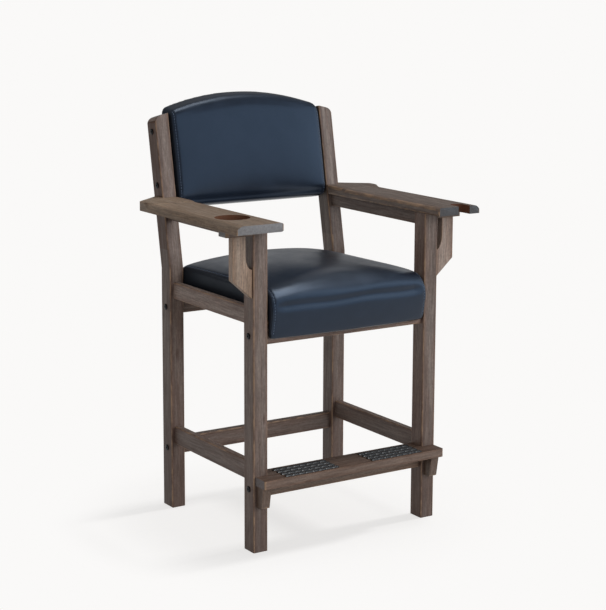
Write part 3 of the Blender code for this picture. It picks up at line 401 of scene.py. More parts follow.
def roundEdges(bm, edges, size):
    bmesh.ops.bevel(bm, geom=edges, offset=size * mm, offset_type="OFFSET", segments=3, profile=0.5,
                    affect="EDGES", clamp_overlap=True)
    bm.normal_update()


def cutThrough(bm, place, normal):
    bmesh.ops.bisect_plane(bm, geom=bm.verts[:] + bm.edges[:] + bm.faces[:], dist=1e-6, plane_co=place,
                           plane_no=normal)


def pushOntoArc(bm, axes, corner, inwards, radius):
    # rounds a corner that has too many short edges to bevel: cuts near it, then the points move onto an arc
    for share in (1.0, 0.75, 0.5, 0.25):
        for k, axis in enumerate(axes):
            place, normal = Vector(), Vector()
            place[axis], normal[axis] = corner[k] + inwards[k] * radius * share, 1.0
            cutThrough(bm, place, normal)
    centre = [corner[k] + inwards[k] * radius for k in (0, 1)]
    for vert in bm.verts:
        away = Vector([vert.co[axis] - centre[k] for k, axis in enumerate(axes)])
        if all(inwards[k] * away[k] < 0 for k in (0, 1)) and away.length > radius:
            for k, axis in enumerate(axes):
                vert.co[axis] = centre[k] + away[k] * radius / away.length
    bm.normal_update()


def socketBoxes(nodeName):
    # places on a piece that a tenon, bolt or post fills
    rule, boxes = socketRule, []
    if nodeName.startswith("arm_c"):
        for other in ("front_leg_left", "front_leg_right", "rear_post_left", "rear_post_right"):
            low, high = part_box(other)
            boxes.append((low - Vector((rule["beside"], rule["beside"], 0)),
                          high + Vector((rule["beside"], rule["beside"], rule["above"]))))
    if nodeName.startswith("rear_post"):
        low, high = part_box(nodeName)
        boxes.append((Vector((low.x, low.y, rule["postFrom"])), Vector((high.x, high.y, rule["postTo"]))))
    return boxes


def grainLines(point, axis):
    # along, across and through the grain; the upper posts follow their rake
    x, y, z = point
    if axis == "X":
        return Vector((x, z, y))
    if axis == "Y":
        return Vector((y, x, z))
    onPost = y > postBend["behind"]
    lean = max(0.0, z - postBend["height"]) * math.tan(postBend["rake"]) if onPost else 0.0
    return Vector((z, x, y - lean))


def fromCup(point):
    return math.hypot(point.x - cupHole["x"], point.y - cupHole["y"])


def isBored(nodeName, centre):
    if nodeName == "arm_cup_left":
        return fromCup(centre) < cupHole["radius"] and cupHole["floor"] < centre.z < cupHole["lip"]
    inNotch = abs(centre.x - cueNotch["x"]) < cueNotch["halfWidth"] and centre.y < cueNotch["end"]
    return nodeName == "arm_cue_right" and inNotch


# the cup's rim, which takes the pale rubbed colour as a painted highlight
def paintedRimHighlight(nodeName, face):
    steepest, flattest = faceRule["rimLean"]
    atRim = abs(fromCup(face.center) - cupHole["radius"]) < cupHole["rim"]
    return nodeName == "arm_cup_left" and atRim and steepest < face.normal.z < flattest


def sideName(settings, face):
    if face.normal.x > -faceRule["facing"]:
        return "other"
    return "upperLeft" if face.center.z > settings.get("split", math.inf) else "left"


# how red a face is: the piece's stain, with painted red shade on left sides and in bored hollows
def faceRedStainAndShade(settings, face, bored):
    if bored:
        return faceRule["boredRed"]
    return settings.get(sideName(settings, face) + "Red", settings.get("red", 0.0))


# how light a face is: the piece's tone and a set tone for sawn ends, with painted light and shade on tops and
# left sides
def faceToneAndPaintedLight(settings, face, endOn):
    if endOn:
        return settings.get("endTone", 1.0)
    if face.normal.z > faceRule["facing"]:
        return settings.get("topTone", settings["tone"])
    return settings.get(sideName(settings, face) + "Tone", settings["tone"])


def makeWoodPiece(nodeName, settings, number):
    low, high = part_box(nodeName)
    axis = settings["grain"]
    if axis == "long":
        axis = "XYZ"[max(range(3), key=lambda i: (high - low)[i])]
    bm = bmesh.new()
    bm.from_mesh(nodes[nodeName].data)
    bmesh.ops.remove_doubles(bm, verts=bm.verts, dist=0.01 * mm)
    if "inner" in settings:
        innerX = min(low.x, high.x, key=abs)
        outwards = 1 if innerX > 0 else -1
        for edgeZ, inwards in ((high.z, -1), (low.z, 1)):
            pushOntoArc(bm, (0, 2), (innerX, edgeZ), (outwards, inwards), settings["inner"] * mm)
    bmesh.ops.dissolve_limit(bm, angle_limit=edgeRule["flatAngle"], verts=bm.verts, edges=bm.edges)
    if "split" in settings:
        cutThrough(bm, (0, 0, settings["split"]), (0, 0, 1))
    hidden = socketBoxes(nodeName)
    if "under" in settings:
        lower = [e for e in outerEdges(bm, hidden) if max(v.co.z for v in e.verts) < low.z + 0.1 * mm]
        roundEdges(bm, lower, settings["under"])
    if "ease" in settings:
        roundEdges(bm, outerEdges(bm, hidden), settings["ease"])
    if "deeper" in settings:   # the photograph shows a little more of this rail under the board
        for vert in bm.verts:
            vert.co.z -= settings["deeper"] * mm if vert.co.z < (low.z + high.z) / 2 else 0.0
    bm.normal_update()
    mesh = bmeshToMesh(bm, camelName(nodeName) + "Wood", edgeRule["sharpFrom"])
    dice = random.Random(number)
    shift = Vector((dice.uniform(0, 3), dice.uniform(0, 3), dice.uniform(0, 3)))
    first, last = grainLines(low, axis), grainLines(high, axis)
    if nodeName.startswith("rear_post"):
        first.z, last.z = postBend["front"], postBend["front"] + postBend["depth"]
    grain = mesh.attributes.new("grain", "FLOAT_VECTOR", "POINT")
    section = mesh.attributes.new("section", "FLOAT_VECTOR", "POINT")
    for vert in mesh.vertices:
        lines = grainLines(vert.co, axis)
        grain.data[vert.index].vector = lines + shift
        along, across, through = [2 * (lines[i] - first[i]) / (last[i] - first[i]) - 1 for i in range(3)]
        section.data[vert.index].vector = (across, through, along)
    values = {name: mesh.attributes.new(name, "FLOAT", "FACE") for name in woodValues}
    axisIndex = "XYZ".index(axis)
    for face in mesh.polygons:
        longest = max((mesh.vertices[a].co - mesh.vertices[b].co).length for a, b in face.edge_keys)
        strip = longest > edgeRule["stripLength"] and face.area / longest < edgeRule["stripWidth"]
        bored = isBored(nodeName, face.center)
        endOn = abs(face.normal[axisIndex]) > faceRule["facing"] and not strip and not bored
        # narrow edge strips are rubbed wear; the cup's rim gets the same pale colour as a painted highlight
        worn = (strip and not bored) or paintedRimHighlight(nodeName, face)
        found = (1.0 if worn else 0.0, faceRule["endGrain"] if endOn else 0.0, faceRedStainAndShade(settings, face, bored),
                 settings.get("warmth", 0.0), faceToneAndPaintedLight(settings, face, endOn))
        for name, value in zip(woodValues, found):
            values[name].data[face.index].value = value
    piece = meshObject(camelName(nodeName) + "Wood", mesh, wood, [nodeName])
    flat = piece.modifiers.new("flatFaces", "WEIGHTED_NORMAL")
    flat.keep_sharp = True
    return piece


for number, nodeName in enumerate(sorted(nodes)):
    kind = next((k for k in woodPieces if nodeName.startswith(k)), None)
    if kind:
        makeWoodPiece(nodeName, woodPieces[kind], number)
print("wood pieces made")


# Leather: pigment-coated, embossed with a fine pebble and wiped satin.
# It reads as a very dark navy film with cool soft highlights and a faint break-up of the gloss.
# the near-black seam colour is painted shade, for the seam grooves and the sideways boxings
leatherLook = {"film": "#171D27", "worn": "#1D2430", "seam": "#0C0E12", "pebble": 6.0, "blotch": 60,
               "roughness": (0.285, 0.37), "seamDull": 0.3, "sheenTint": "#CDE2FF"}


def makeLeather():
    look = leatherLook
    material, tree, shader = newMaterial("coatedLeatherEmbossed")
    spot = addNode(tree, "TexCoord").outputs["Object"]
    # real pebbles are 1 mm across, drawn larger so that they show
    pebble = addNode(tree, "TexNoise", {"Scale": 1000 / look["pebble"], "Detail": 1.0, "Vector": spot})
    blotch = addNode(tree, "TexNoise",
                     {"Scale": 1000 / look["blotch"], "Detail": 4.0, "Roughness": 0.6, "Vector": spot})
    share = addNode(tree, "MapRange", {0: blotch, 1: 0.35, 2: 0.7, 3: 0.0, 4: 0.6})
    colour = addNode(tree, "Mix", {0: share, 6: toLinear(look["film"]), 7: toLinear(look["worn"])},
                     data_type="RGBA").outputs[2]
    # painted shade: near black in seam grooves and topstitch dimples, darker on the boxings, which are also
    # duller
    shadedSeamOrSide = addNode(tree, "Attribute", attribute_name="seam").outputs["Fac"]
    colour = addNode(tree, "Mix", {0: shadedSeamOrSide, 6: colour, 7: toLinear(look["seam"])},
                     data_type="RGBA").outputs[2]
    smoothest, roughest = look["roughness"]
    gloss = addNode(tree, "MapRange", {0: blotch, 1: 0.3, 2: 0.7, 3: smoothest, 4: roughest})
    gloss = addNode(tree, "Math", {0: shadedSeamOrSide, 1: look["seamDull"], 2: gloss}, operation="MULTIPLY_ADD")
    bump = addNode(tree, "Bump", {"Strength": 0.05, "Distance": 0.4 * mm, "Height": pebble})
    setInputs(tree, shader, {"Base Color": colour, "Roughness": gloss, "Normal": bump, "IOR": 1.5,
                             "Specular Tint": toLinear(look["sheenTint"])})
    return material


leather = makeLeather()


# Cushions start as sections joined side to side, like the solids, and are then swelled as stuffed cloth
stations = [s / 24 for s in range(-24, 25)]
quarter = math.pi / 2
squareness = 2.2   # of the swelling from side to side


def swell(station, power):
    return (1 - abs(station) ** squareness) ** power


def arcPoints(centreA, centreB, radius, first, last, steps=8):
    turns = [first + (last - first) * step / steps for step in range(steps + 1)]
    return [(centreA + radius * math.cos(t), centreB + radius * math.sin(t)) for t in turns]


def eased(points, rounds):
    for _ in range(rounds):
        points = points[:1] + [tuple((a + 2 * b + c) / 4 for a, b, c in zip(*three))
                               for three in zip(points, points[1:], points[2:])] + points[-1:]
    return points


def loftSections(rings):
    bm = bmesh.new()
    ends = joinRings(bm, [[bm.verts.new(point) for point in ring] for ring in rings])
    bm.normal_update()
    bmesh.ops.triangulate(bm, faces=ends)
    return bm


# Seat: a waterfall panel over top and front, with a gusset sewn in at each side
seatShape = {
    "halfWidth": 0.2605, "front": 0.030, "hemFront": 0.017, "rear": 0.496, "base": 0.6512, "hem": 0.598,
    "hemBack": 0.0125, "seam": 0.7270, "crown": 0.038, "frontShare": 0.70, "rearShare": 0.60,
    "seamInset": 0.012, "frontRound": 0.050, "rearRound": 0.016, "hemRound": 0.006, "power": 0.72,
    "frontPower": 0.40, "plateau": 0.24, "drawnIn": 0.003,
}


def seatSection(station):
    s = seatShape
    full = swell(station, s["power"])
    inset = s["seamInset"] * (1 - full)
    front, hemFront, rear = -s["front"] + inset, -s["hemFront"] + inset, s["rear"]
    rearTop = s["seam"] + s["crown"] * s["rearShare"] * full
    frontTop = s["seam"] + s["crown"] * s["frontShare"] * swell(station, s["frontPower"])
    rise = s["crown"] * (1 - (s["rearShare"] + s["frontShare"]) / 2) * full
    crownRear, crownFront = rear - s["rearRound"], front + s["frontRound"]
    cover = arcPoints(crownRear, rearTop - s["rearRound"], s["rearRound"], 0, quarter)
    for i in range(1, 24):
        share = i / 24
        crowned = rise * math.sin(math.pi * share) ** s["plateau"]
        cover.append((crownRear + (crownFront - crownRear) * share,
                      rearTop + (frontTop - rearTop) * share + crowned))
    faceTop, faceLow = frontTop - s["frontRound"], s["hem"] + s["hemRound"]
    cover += arcPoints(crownFront, faceTop, s["frontRound"], quarter, math.pi)
    for i in range(1, 10):
        share = i / 10
        cover.append((front + (hemFront - front) * (1 - math.cos(quarter * share)),
                      faceTop + (faceLow - faceTop) * share))
    cover = eased(cover, 4)
    cover += arcPoints(hemFront + s["hemRound"], faceLow, s["hemRound"], math.pi, 3 * quarter, 4)
    base = [(s["hemBack"] + (rear - s["hemBack"]) * i / 12, s["base"]) for i in range(13)]
    return base + cover + [(s["hemBack"], s["hem"])], cover


def seatPlaces(station, points):
    s = seatShape
    middle, reach = (s["rear"] - s["front"]) / 2, (s["rear"] + s["front"]) / 2
    places = []
    for y, z in points:
        drawnIn = s["drawnIn"] * (1 - ((y - middle) / reach) ** 2)
        places.append(Vector((station * (s["halfWidth"] - drawnIn), y + frontFace, z)))
    return places


# Back: one panel rolled over top and bottom, between side boxings, on the rake of the posts
backShape = {
    "halfWidth": 0.2595, "bottom": 0.9005, "corner": 1.1815, "top": 1.2235, "front": 0.009, "rear": 0.0615,
    "rearRise": 0.011, "cornerRound": 0.011, "crown": 0.017, "frontRound": 0.026, "rearRound": 0.006,
    "sideRound": 0.006, "power": 0.7, "setback": 0.471,
}


def upTheRake(height):
    return (height - postBend["height"]) / math.cos(postBend["rake"])


def fromRake(across, depth, up):
    c, s = math.cos(postBend["rake"]), math.sin(postBend["rake"])
    return Vector((across, backShape["setback"] + frontFace + depth * c + up * s,
                   postBend["height"] - depth * s + up * c))


def depthOnRake(point):
    c, s = math.cos(postBend["rake"]), math.sin(postBend["rake"])
    return (point[1] - frontFace - backShape["setback"]) * c - (point[2] - postBend["height"]) * s


def archHeight(across, inset=0.0):
    b = backShape
    top, corner = upTheRake(b["top"]), upTheRake(b["corner"])
    rise = top - corner
    radius = (b["halfWidth"] ** 2 + rise ** 2) / (2 * rise)
    return top - radius + math.sqrt((radius - inset) ** 2 - across ** 2)


def roundedIn(across, radius):
    past = max(0.0, abs(across) - (backShape["halfWidth"] - radius))
    return radius - math.sqrt(max(0.0, radius ** 2 - past ** 2))


def backRing(station):
    b = backShape
    full = swell(station, b["power"])
    across = station * b["halfWidth"]
    inset = roundedIn(across, b["sideRound"])
    top = archHeight(across) - max(roundedIn(across, b["cornerRound"]), inset)
    bottom = upTheRake(b["bottom"]) + inset
    front, rear = -b["front"] + inset, b["rear"] - inset
    faceLow, faceHigh = bottom + b["frontRound"], top - b["frontRound"]
    face = [(front - b["crown"] * full * math.sin(math.pi * i / 20) ** b["power"],
             faceLow + (faceHigh - faceLow) * i / 20) for i in range(1, 20)]
    section = arcPoints(rear - b["rearRound"], bottom + b["rearRound"], b["rearRound"], 0, -quarter, 4)
    section += arcPoints(front + b["frontRound"], faceLow, b["frontRound"], -quarter, -2 * quarter)
    section += face
    section += arcPoints(front + b["frontRound"], faceHigh, b["frontRound"], 2 * quarter, quarter)
    section += arcPoints(rear - b["rearRound"], top + b["rearRise"] - b["rearRound"], b["rearRound"],
                         quarter, 0, 4)
    return [fromRake(across, depth, up) for depth, up in section]


# Outside back: a thin padded panel let into the rear of the back cushion
coverShape = {"wall": 0.011, "sunk": 0.008, "proud": 0.0015, "crown": 0.003, "round": 0.004, "power": 0.6}


def coverRing(station):
    k = coverShape
    half = backShape["halfWidth"] - k["wall"]
    across = station * half
    low, high = upTheRake(backShape["bottom"]) + k["wall"], archHeight(across, k["wall"])
    full = swell(station, k["power"])
    inner = backShape["rear"] - k["sunk"]
    outer = backShape["rear"] + k["proud"]
    section = [(inner, low)]
    section += arcPoints(outer - k["round"], low + k["round"], k["round"], -quarter, 0, 4)
    for i in range(1, 20):
        section.append((outer + k["crown"] * full * math.sin(math.pi * i / 20) ** k["power"],
                        low + k["round"] + (high - low - 2 * k["round"]) * i / 20))
    section += arcPoints(outer - k["round"], high - k["round"], k["round"], 0, quarter, 4)
    section.append((inner, high))
    return [fromRake(across, depth, up) for depth, up in section]


stuffing = {"evening": 30, "relaxing": 5, "frames": 20,
            "cloth": {"quality": 6, "mass": 0.3, "use_pressure": True, "uniform_pressure_force": 4.0,
                      "tension_stiffness": 18, "compression_stiffness": 18, "shear_stiffness": 8,
                      "bending_stiffness": 1.5, "vertex_group_mass": "held"}}
# how near its base, sides and rear a cover is held
grip = {"seatBase": 6 * mm, "seatFront": 4 * mm, "seatSide": 12 * mm, "backDepth": 12 * mm, "backSide": 10 * mm,
        "coverEdge": 0.5 * mm}


def evaluatedMesh(piece):
    depsgraph = bpy.context.evaluated_depsgraph_get()
    return bpy.data.meshes.new_from_object(piece.evaluated_get(depsgraph))


def relaxed(mesh, values, rounds):
    # each point's value drawn towards its neighbours', which evens out steps and buckles
    ends = np.array([e.vertices for e in mesh.edges])
    count = np.bincount(ends.ravel(), minlength=len(values))[:, None]
    for _ in range(rounds):
        total = np.zeros_like(values)
        np.add.at(total, ends[:, 0], values[ends[:, 1]])
        np.add.at(total, ends[:, 1], values[ends[:, 0]])
        values = values + 0.5 * (total / count - values)
    return values


def stuffCushion(name, bm, held, cap, voxel):
    # voxel remesh, then a short cloth run with pressure; held points stay on what carries them
    piece = bpy.data.objects.new(name, bmeshToMesh(bm, name))
    scene.collection.objects.link(piece)
    remesh = piece.modifiers.new("evenMesh", "REMESH")
    remesh.mode = "VOXEL"
    remesh.voxel_size = voxel
    even = evaluatedMesh(piece)
    piece.modifiers.clear()
    piece.data = even
    start = np.array([v.co for v in even.vertices])
    group = piece.vertex_groups.new(name="held")
    group.add([i for i, point in enumerate(start) if held(point)], 1.0, "REPLACE")
    cloth = piece.modifiers.new("stuffed", "CLOTH")
    for setting, value in stuffing["cloth"].items():
        setattr(cloth.settings, setting, value)
    cloth.settings.effector_weights.gravity = 0
    cloth.collision_settings.use_collision = False
    cloth.point_cache.frame_start, cloth.point_cache.frame_end = 1, stuffing["frames"]
    for step in range(1, stuffing["frames"] + 1):
        scene.frame_set(step)
    swelled = evaluatedMesh(piece)
    moved = np.array([v.co for v in swelled.vertices]) - start
    length = np.linalg.norm(moved, axis=1, keepdims=True)
    moved *= np.minimum(1.0, cap / np.maximum(length, 1e-9))
    moved = relaxed(swelled, moved, stuffing["evening"])
    print(name, "swelled by up to", round(float(np.linalg.norm(moved, axis=1).max()) * 1000, 1), "mm")
    piece.modifiers.clear()
    piece.vertex_groups.clear()
    swelled.vertices.foreach_set("co", (start + moved).astype(np.float32).ravel())
    piece.data = swelled
    scene.frame_set(1)
    points = relaxed(piece.data, np.array([v.co for v in piece.data.vertices]), stuffing["relaxing"])
    piece.data.vertices.foreach_set("co", points.astype(np.float32).ravel())
    piece.data.update()
    smoother = piece.modifiers.new("rounder", "SUBSURF")
    smoother.levels = smoother.render_levels = 1
    piece.data = evaluatedMesh(piece)
    piece.modifiers.clear()
    return piece


def seatHeld(point):
    x, y, z = point
    onBase = z < seatShape["base"] + grip["seatBase"] and y > frontFace + grip["seatFront"]
    return onBase or abs(x) > seatShape["halfWidth"] - grip["seatSide"]


def backHeld(point):
    return depthOnRake(point) > grip["backDepth"] or abs(point[0]) > backShape["halfWidth"] - grip["backSide"]


def coverHeld(point):
    return depthOnRake(point) < backShape["rear"] + grip["coverEdge"]


# Seams: a groove at each sewn corner and a row of topstitching beside it, coarser than real so that it shows;
# both are also painted dark, as painted shade
# (groove and dimple: depth, width and darkness, the darkness being painted shade; boxing: how dark the sideways
# boxings are painted)
seamLook = {"groove": (1.5 * mm, 2.4 * mm, 0.9), "dimple": (0.8 * mm, 3.0 * mm, 0.35),
            "reach": 4, "darkShare": 0.6, "inboard": 9 * mm, "onGusset": 3.5 * mm, "onBoxing": 6 * mm,
            "pucker": 0.35, "boxing": 0.85, "boxingTurn": (0.6, 0.9), "stitch": 5.4 * mm, "pitch": 8.0 * mm,
            "thread": 1.3 * mm, "fine": 0.9 * mm, "steps": 6, "sides": 6}


def evenPath(points, step):
    points = np.array([tuple(p) for p in points])
    lengths = np.concatenate(([0.0], np.cumsum(np.linalg.norm(np.diff(points, axis=0), axis=1))))
    places = np.arange(0.0, lengths[-1], step)
    return np.stack([np.interp(places, lengths, points[:, i]) for i in range(3)], axis=1)


def surfaceTree(mesh):
    return BVHTree.FromPolygons([v.co for v in mesh.vertices], [p.vertices for p in mesh.polygons])


def ontoSurface(tree, points):
    return [tree.find_nearest(Vector(p))[0] for p in points]


def sewSeams(piece, seams):
    # seams: pairs of (groove path, topstitch path) near the surface
    look = seamLook
    mesh = piece.data
    tree = surfaceTree(mesh)
    points = np.array([v.co for v in mesh.vertices])
    normals = np.array([v.normal for v in mesh.vertices])
    # dark holds painted shade along the grooves and topstitching and on the boxings
    sunk, dark = np.zeros(len(points)), np.zeros(len(points))
    stitched = []
    for groovePath, stitchPath in seams:
        for path, (depth, width, tone) in ((groovePath, look["groove"]), (stitchPath, look["dimple"])):
            line = ontoSurface(tree, evenPath(ontoSurface(tree, evenPath(path, 4 * mm)), 1 * mm))
            finder = kdtree.KDTree(len(line))
            for index, point in enumerate(line):
                finder.insert(point, index)
            finder.balance()
            reach = look["reach"] * width
            lineLow = np.min([tuple(p) for p in line], axis=0) - reach
            lineHigh = np.max([tuple(p) for p in line], axis=0) + reach
            for index in np.where(np.all((points > lineLow) & (points < lineHigh), axis=1))[0]:
                _, place, away = finder.find(points[index])
                if away > reach:
                    continue
                pulled = 1.0
                if path is stitchPath:
                    pulled += look["pucker"] * math.sin(math.pi * place * mm / look["pitch"])
                sunk[index] = max(sunk[index], depth * math.exp(-(away / width) ** 2) * pulled)
                dark[index] = max(dark[index], tone * math.exp(-(away / (look["darkShare"] * width)) ** 2))
            if path is stitchPath:
                stitched.append(line)
    # the boxings are duller, and painted darker where they turn sideways: painted shade
    turned, sideways = look["boxingTurn"]
    sideShaded = np.clip((np.abs(normals[:, 0]) - turned) / (sideways - turned), 0.0, 1.0)
    dark = np.maximum(dark, look["boxing"] * sideShaded)
    points -= normals * sunk[:, None]
    mesh.vertices.foreach_set("co", points.astype(np.float32).ravel())
    mesh.attributes.new("seam", "FLOAT", "POINT").data.foreach_set("value", dark.astype(np.float32))
    mesh.update()
    return stitched


def makeStitches(name, piece, lines):
    look = seamLook
    tree = surfaceTree(piece.data)
    span, stride = round(look["stitch"] / look["fine"]), round(look["pitch"] / look["fine"])
    turns = [2 * math.pi * k / look["sides"] for k in range(look["sides"])]
    bm = bmesh.new()
    for line in lines:
        places = evenPath(line, look["fine"])
        for first in range(2, len(places) - span - 2, stride):
            start, end = Vector(places[first]), Vector(places[first + span])
            along = (end - start).normalized()
            rings = []
            for step in range(look["steps"] + 1):
                share = step / look["steps"]
                spot, normal, _, _ = tree.find_nearest(start.lerp(end, share))
                side = along.cross(normal).normalized()
                # thick and proud in the middle, thin and sunk where it goes into the leather
                arch = math.sin(math.pi * share)
                radius = look["thread"] / 2 * (0.45 + 0.55 * arch ** 0.5)
                centre = spot + normal * (radius * (1.3 * arch - 0.5))
                rings.append([bm.verts.new(centre + (side * math.cos(t) + normal * math.sin(t)) * radius)
                              for t in turns])
            joinRings(bm, rings)
    mesh = bmeshToMesh(bm, name)
    mesh.shade_smooth()
    return meshObject(name, mesh, thread)


# Thread: bonded polyester, twisted; a pale blue-grey dash with a dull gleam
threadLook = {"dark": "#4E5B70", "light": "#6C7B93", "patch": 1.6, "breakUp": {"Detail": 2.0}}
thread = makeTwoTone("polyesterThreadTwisted", threadLook, {"Roughness": 0.5})[0]


def makeCushion(name, rings, held, cap, voxel, nodeName):
    piece = stuffCushion(name, loftSections(rings), held, cap, voxel)
    mesh = piece.data
    mesh.materials.clear()
    mesh.materials.append(leather)
    mesh.shade_smooth()
    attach(piece, "root")
    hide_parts(nodeName)
    return piece


def fadeOut(x, ends):
    full, none = ends
    return min(1.0, max(0.0, (none - abs(x)) / (none - full)))


# Below the front roll the cover is drawn in along a slightly wavy line, so a second soft roll shows
frontCrease = {"height": 0.692, "depth": 6.0 * mm, "width": 11 * mm, "fade": (0.215, 0.250), "behind": 30 * mm,
               "lowest": 0.66, "waves": ((2.5 * mm, 11, 0.6), (1.25 * mm, 29, 0.0))}


def creaseFront(piece):
    c = frontCrease
    for vert in piece.data.vertices:
        x, y, z = vert.co
        if y > frontFace + c["behind"] or z < c["lowest"]:
            continue
        height = c["height"] + sum(size * math.sin(rate * x + start) for size, rate, start in c["waves"])
        vert.co.y += c["depth"] * fadeOut(x, c["fade"]) * math.exp(-((z - height) / c["width"]) ** 2)
    piece.data.update()


# and low on the back, where the cover turns under
lowCrease = {"above": 0.018, "depth": 4.5 * mm, "width": 8 * mm, "fade": (0.235, 0.256), "highest": 0.06,
             "deepest": 12 * mm}


def creaseBack(piece):
    c = lowCrease
    inwards = fromRake(0, 1, 0) - fromRake(0, 0, 0)
    upwards = fromRake(0, 0, 1) - fromRake(0, 0, 0)
    bottom = upwards.dot(fromRake(0, 0, upTheRake(backShape["bottom"])))
    for vert in piece.data.vertices:
        above = upwards.dot(vert.co) - bottom
        if above > c["highest"] or depthOnRake(vert.co) > c["deepest"]:
            continue
        drawn = c["depth"] * fadeOut(vert.co.x, c["fade"]) * math.exp(-((above - c["above"]) / c["width"]) ** 2)
        vert.co += inwards * drawn
    piece.data.update()


def seatSeam(side):
    s = seatShape
    inner = seatSection(1.0)[1]
    middle = (s["rear"] / 2, s["base"] + 0.02)
    gusset = []
    for y, z in inner[2:-3]:
        towards = Vector((middle[0] - y, middle[1] - z)).normalized() * seamLook["onGusset"]
        gusset.append((y + towards.x, z + towards.y))
    beside = 1 - seamLook["inboard"] / s["halfWidth"]
    return seatPlaces(side, gusset), seatPlaces(side * beside, seatSection(beside)[1][2:-3])


def backSeam(side):
    beside = 1 - seamLook["inboard"] / backShape["halfWidth"]
    inwards = fromRake(0, seamLook["onBoxing"], 0) - fromRake(0, 0, 0)
    boxing = [p + inwards for p in backRing(side * 0.999)[6:-6]]   # the face, without its turned-in ends
    return boxing, backRing(side * beside)[6:-6]


seatPiece = makeCushion("seatCushionLeather", [seatPlaces(s, seatSection(s)[0]) for s in stations],
                        seatHeld, cap=3.5 * mm, voxel=5 * mm, nodeName="seat_cushion")
for lampName, lamp in lamps.items():
    if lamp[-1] == "seat":
        bpy.data.collections[lampName + "Lights"].objects.link(seatPiece)
creaseFront(seatPiece)
seatLines = sewSeams(seatPiece, [seatSeam(side) for side in (-1, 1)])
makeStitches("seatTopstitch", seatPiece, seatLines)
backPiece = makeCushion("backCushionLeather", [backRing(s) for s in stations],
                        backHeld, cap=5 * mm, voxel=5 * mm, nodeName="back_cushion")
creaseBack(backPiece)
backLines = sewSeams(backPiece, [backSeam(side) for side in (-1, 1)])
makeStitches("backTopstitch", backPiece, backLines)
makeCushion("backCoverLeather", [coverRing(s) for s in stations],
            coverHeld, cap=3 * mm, voxel=4 * mm, nodeName="back_cover")
print("cushions stuffed and sewn")


# Rubber: nitrile, moulded as strips of domed pads; dull black tops, and a glint along each rounded front edge
treadLook = {"dark": "#060709", "light": "#0E0F12", "patch": 9, "breakUp": {"Detail": 4.0, "Roughness": 0.6},
             "upright": (0.80, 0.97), "roughness": (0.29, 0.85), "sharpFrom": 50, "blocks": 8, "padSteps": 12,
             "acrossSteps": 20, "padDome": 0.3 * mm, "cut": 0.6 * mm, "frontRound": 0.36, "frontLip": 0.15,
             "rearRound": 0.12, "rearLip": 0.2, "endFall": 0.7, "endRound": 3 * mm, "thinnest": 0.3 * mm}


def makeRubber():
    look = treadLook
    material, tree, shader, _ = makeTwoTone("nitrileRubberMoulded", look,
                                            {"IOR": 1.5, "Specular IOR Level": 0.6})
    # tops scuffed dull, edges still smooth from the mould
    facing = addNode(tree, "NewGeometry").outputs["Normal"]
    upright = addNode(tree, "SeparateXYZ", {0: facing}).outputs[2]
    (leaning, level), (smooth, dull) = look["upright"], look["roughness"]
    gloss = addNode(tree, "MapRange", {0: upright, 1: leaning, 2: level, 3: smooth, 4: dull})
    setInputs(tree, shader, {"Roughness": gloss})
    return material


rubber = makeRubber()


def makeTread(nodeName):
    look = treadLook
    low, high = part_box(nodeName)
    length, width, height = high - low
    padSteps = look["padSteps"]
    stepsAlong = look["blocks"] * padSteps
    frontLip, rearLip = look["frontLip"], look["rearLip"]
    bm = bmesh.new()
    rings = []
    for index in range(stepsAlong + 1):
        x = low.x + length * index / stepsAlong
        onPad = 2 * (index % padSteps) / padSteps - 1
        padDrop = look["padDome"] * onPad ** 2 + (look["cut"] if index % padSteps == 0 else 0.0)
        fromEnd = min(index, stepsAlong - index) * length / stepsAlong
        endDrop = look["endFall"] * height * (1 - math.sqrt(min(1.0, fromEnd / look["endRound"])))
        ring = [(low.y, low.z)]
        for k in range(look["acrossSteps"] + 1):
            share = k / look["acrossSteps"]
            front = frontLip + (1 - frontLip) * math.sin(quarter * min(1.0, share / look["frontRound"]))
            rear = rearLip + (1 - rearLip) * (1 - share) / look["rearRound"]
            top = height * min(front, rear) - padDrop - endDrop
            ring.append((low.y + width * share, low.z + max(look["thinnest"], top)))
        ring.append((high.y, low.z))
        rings.append([bm.verts.new((x, y, z)) for y, z in ring])
    joinRings(bm, rings)
    mesh = bmeshToMesh(bm, camelName(nodeName) + "Rubber", look["sharpFrom"])
    piece = meshObject(camelName(nodeName) + "Rubber", mesh, rubber, [nodeName])
    bpy.data.collections["frontSoftboxLights"].objects.link(piece)
    return piece


# Connector bolts: steel, cold headed and black oxide; a soft black gleam round the hexagon
boltLook = {"dark": "#141416", "light": "#2B2B2E", "patch": 4.0, "breakUp": {"Detail": 3.0},
            "roughness": (0.3, 0.5), "sharpFrom": 35, "sides": 48, "headRadius": 9.0 * mm,
            "domeHeight": 2.8 * mm, "domeShare": 0.62, "domeRings": (0.62, 0.78, 0.9, 0.97, 1.0),
            "rimHeight": 0.3 * mm, "rimRound": 0.2 * mm, "socketApothem": 2.6 * mm, "socketDepth": 1.9 * mm,
            "socketLip": 0.25 * mm, "socketFlare": 0.3 * mm, "shank": 2.9 * mm}


def makeBlackSteel():
    material, tree, shader, patch = makeTwoTone("steelBlackOxide", boltLook, {"Metallic": 1.0})
    smooth, rough = boltLook["roughness"]
    gloss = addNode(tree, "MapRange", {0: patch, 1: 0.3, 2: 0.7, 3: smooth, 4: rough})
    setInputs(tree, shader, {"Roughness": gloss})
    return material


blackSteel = makeBlackSteel()


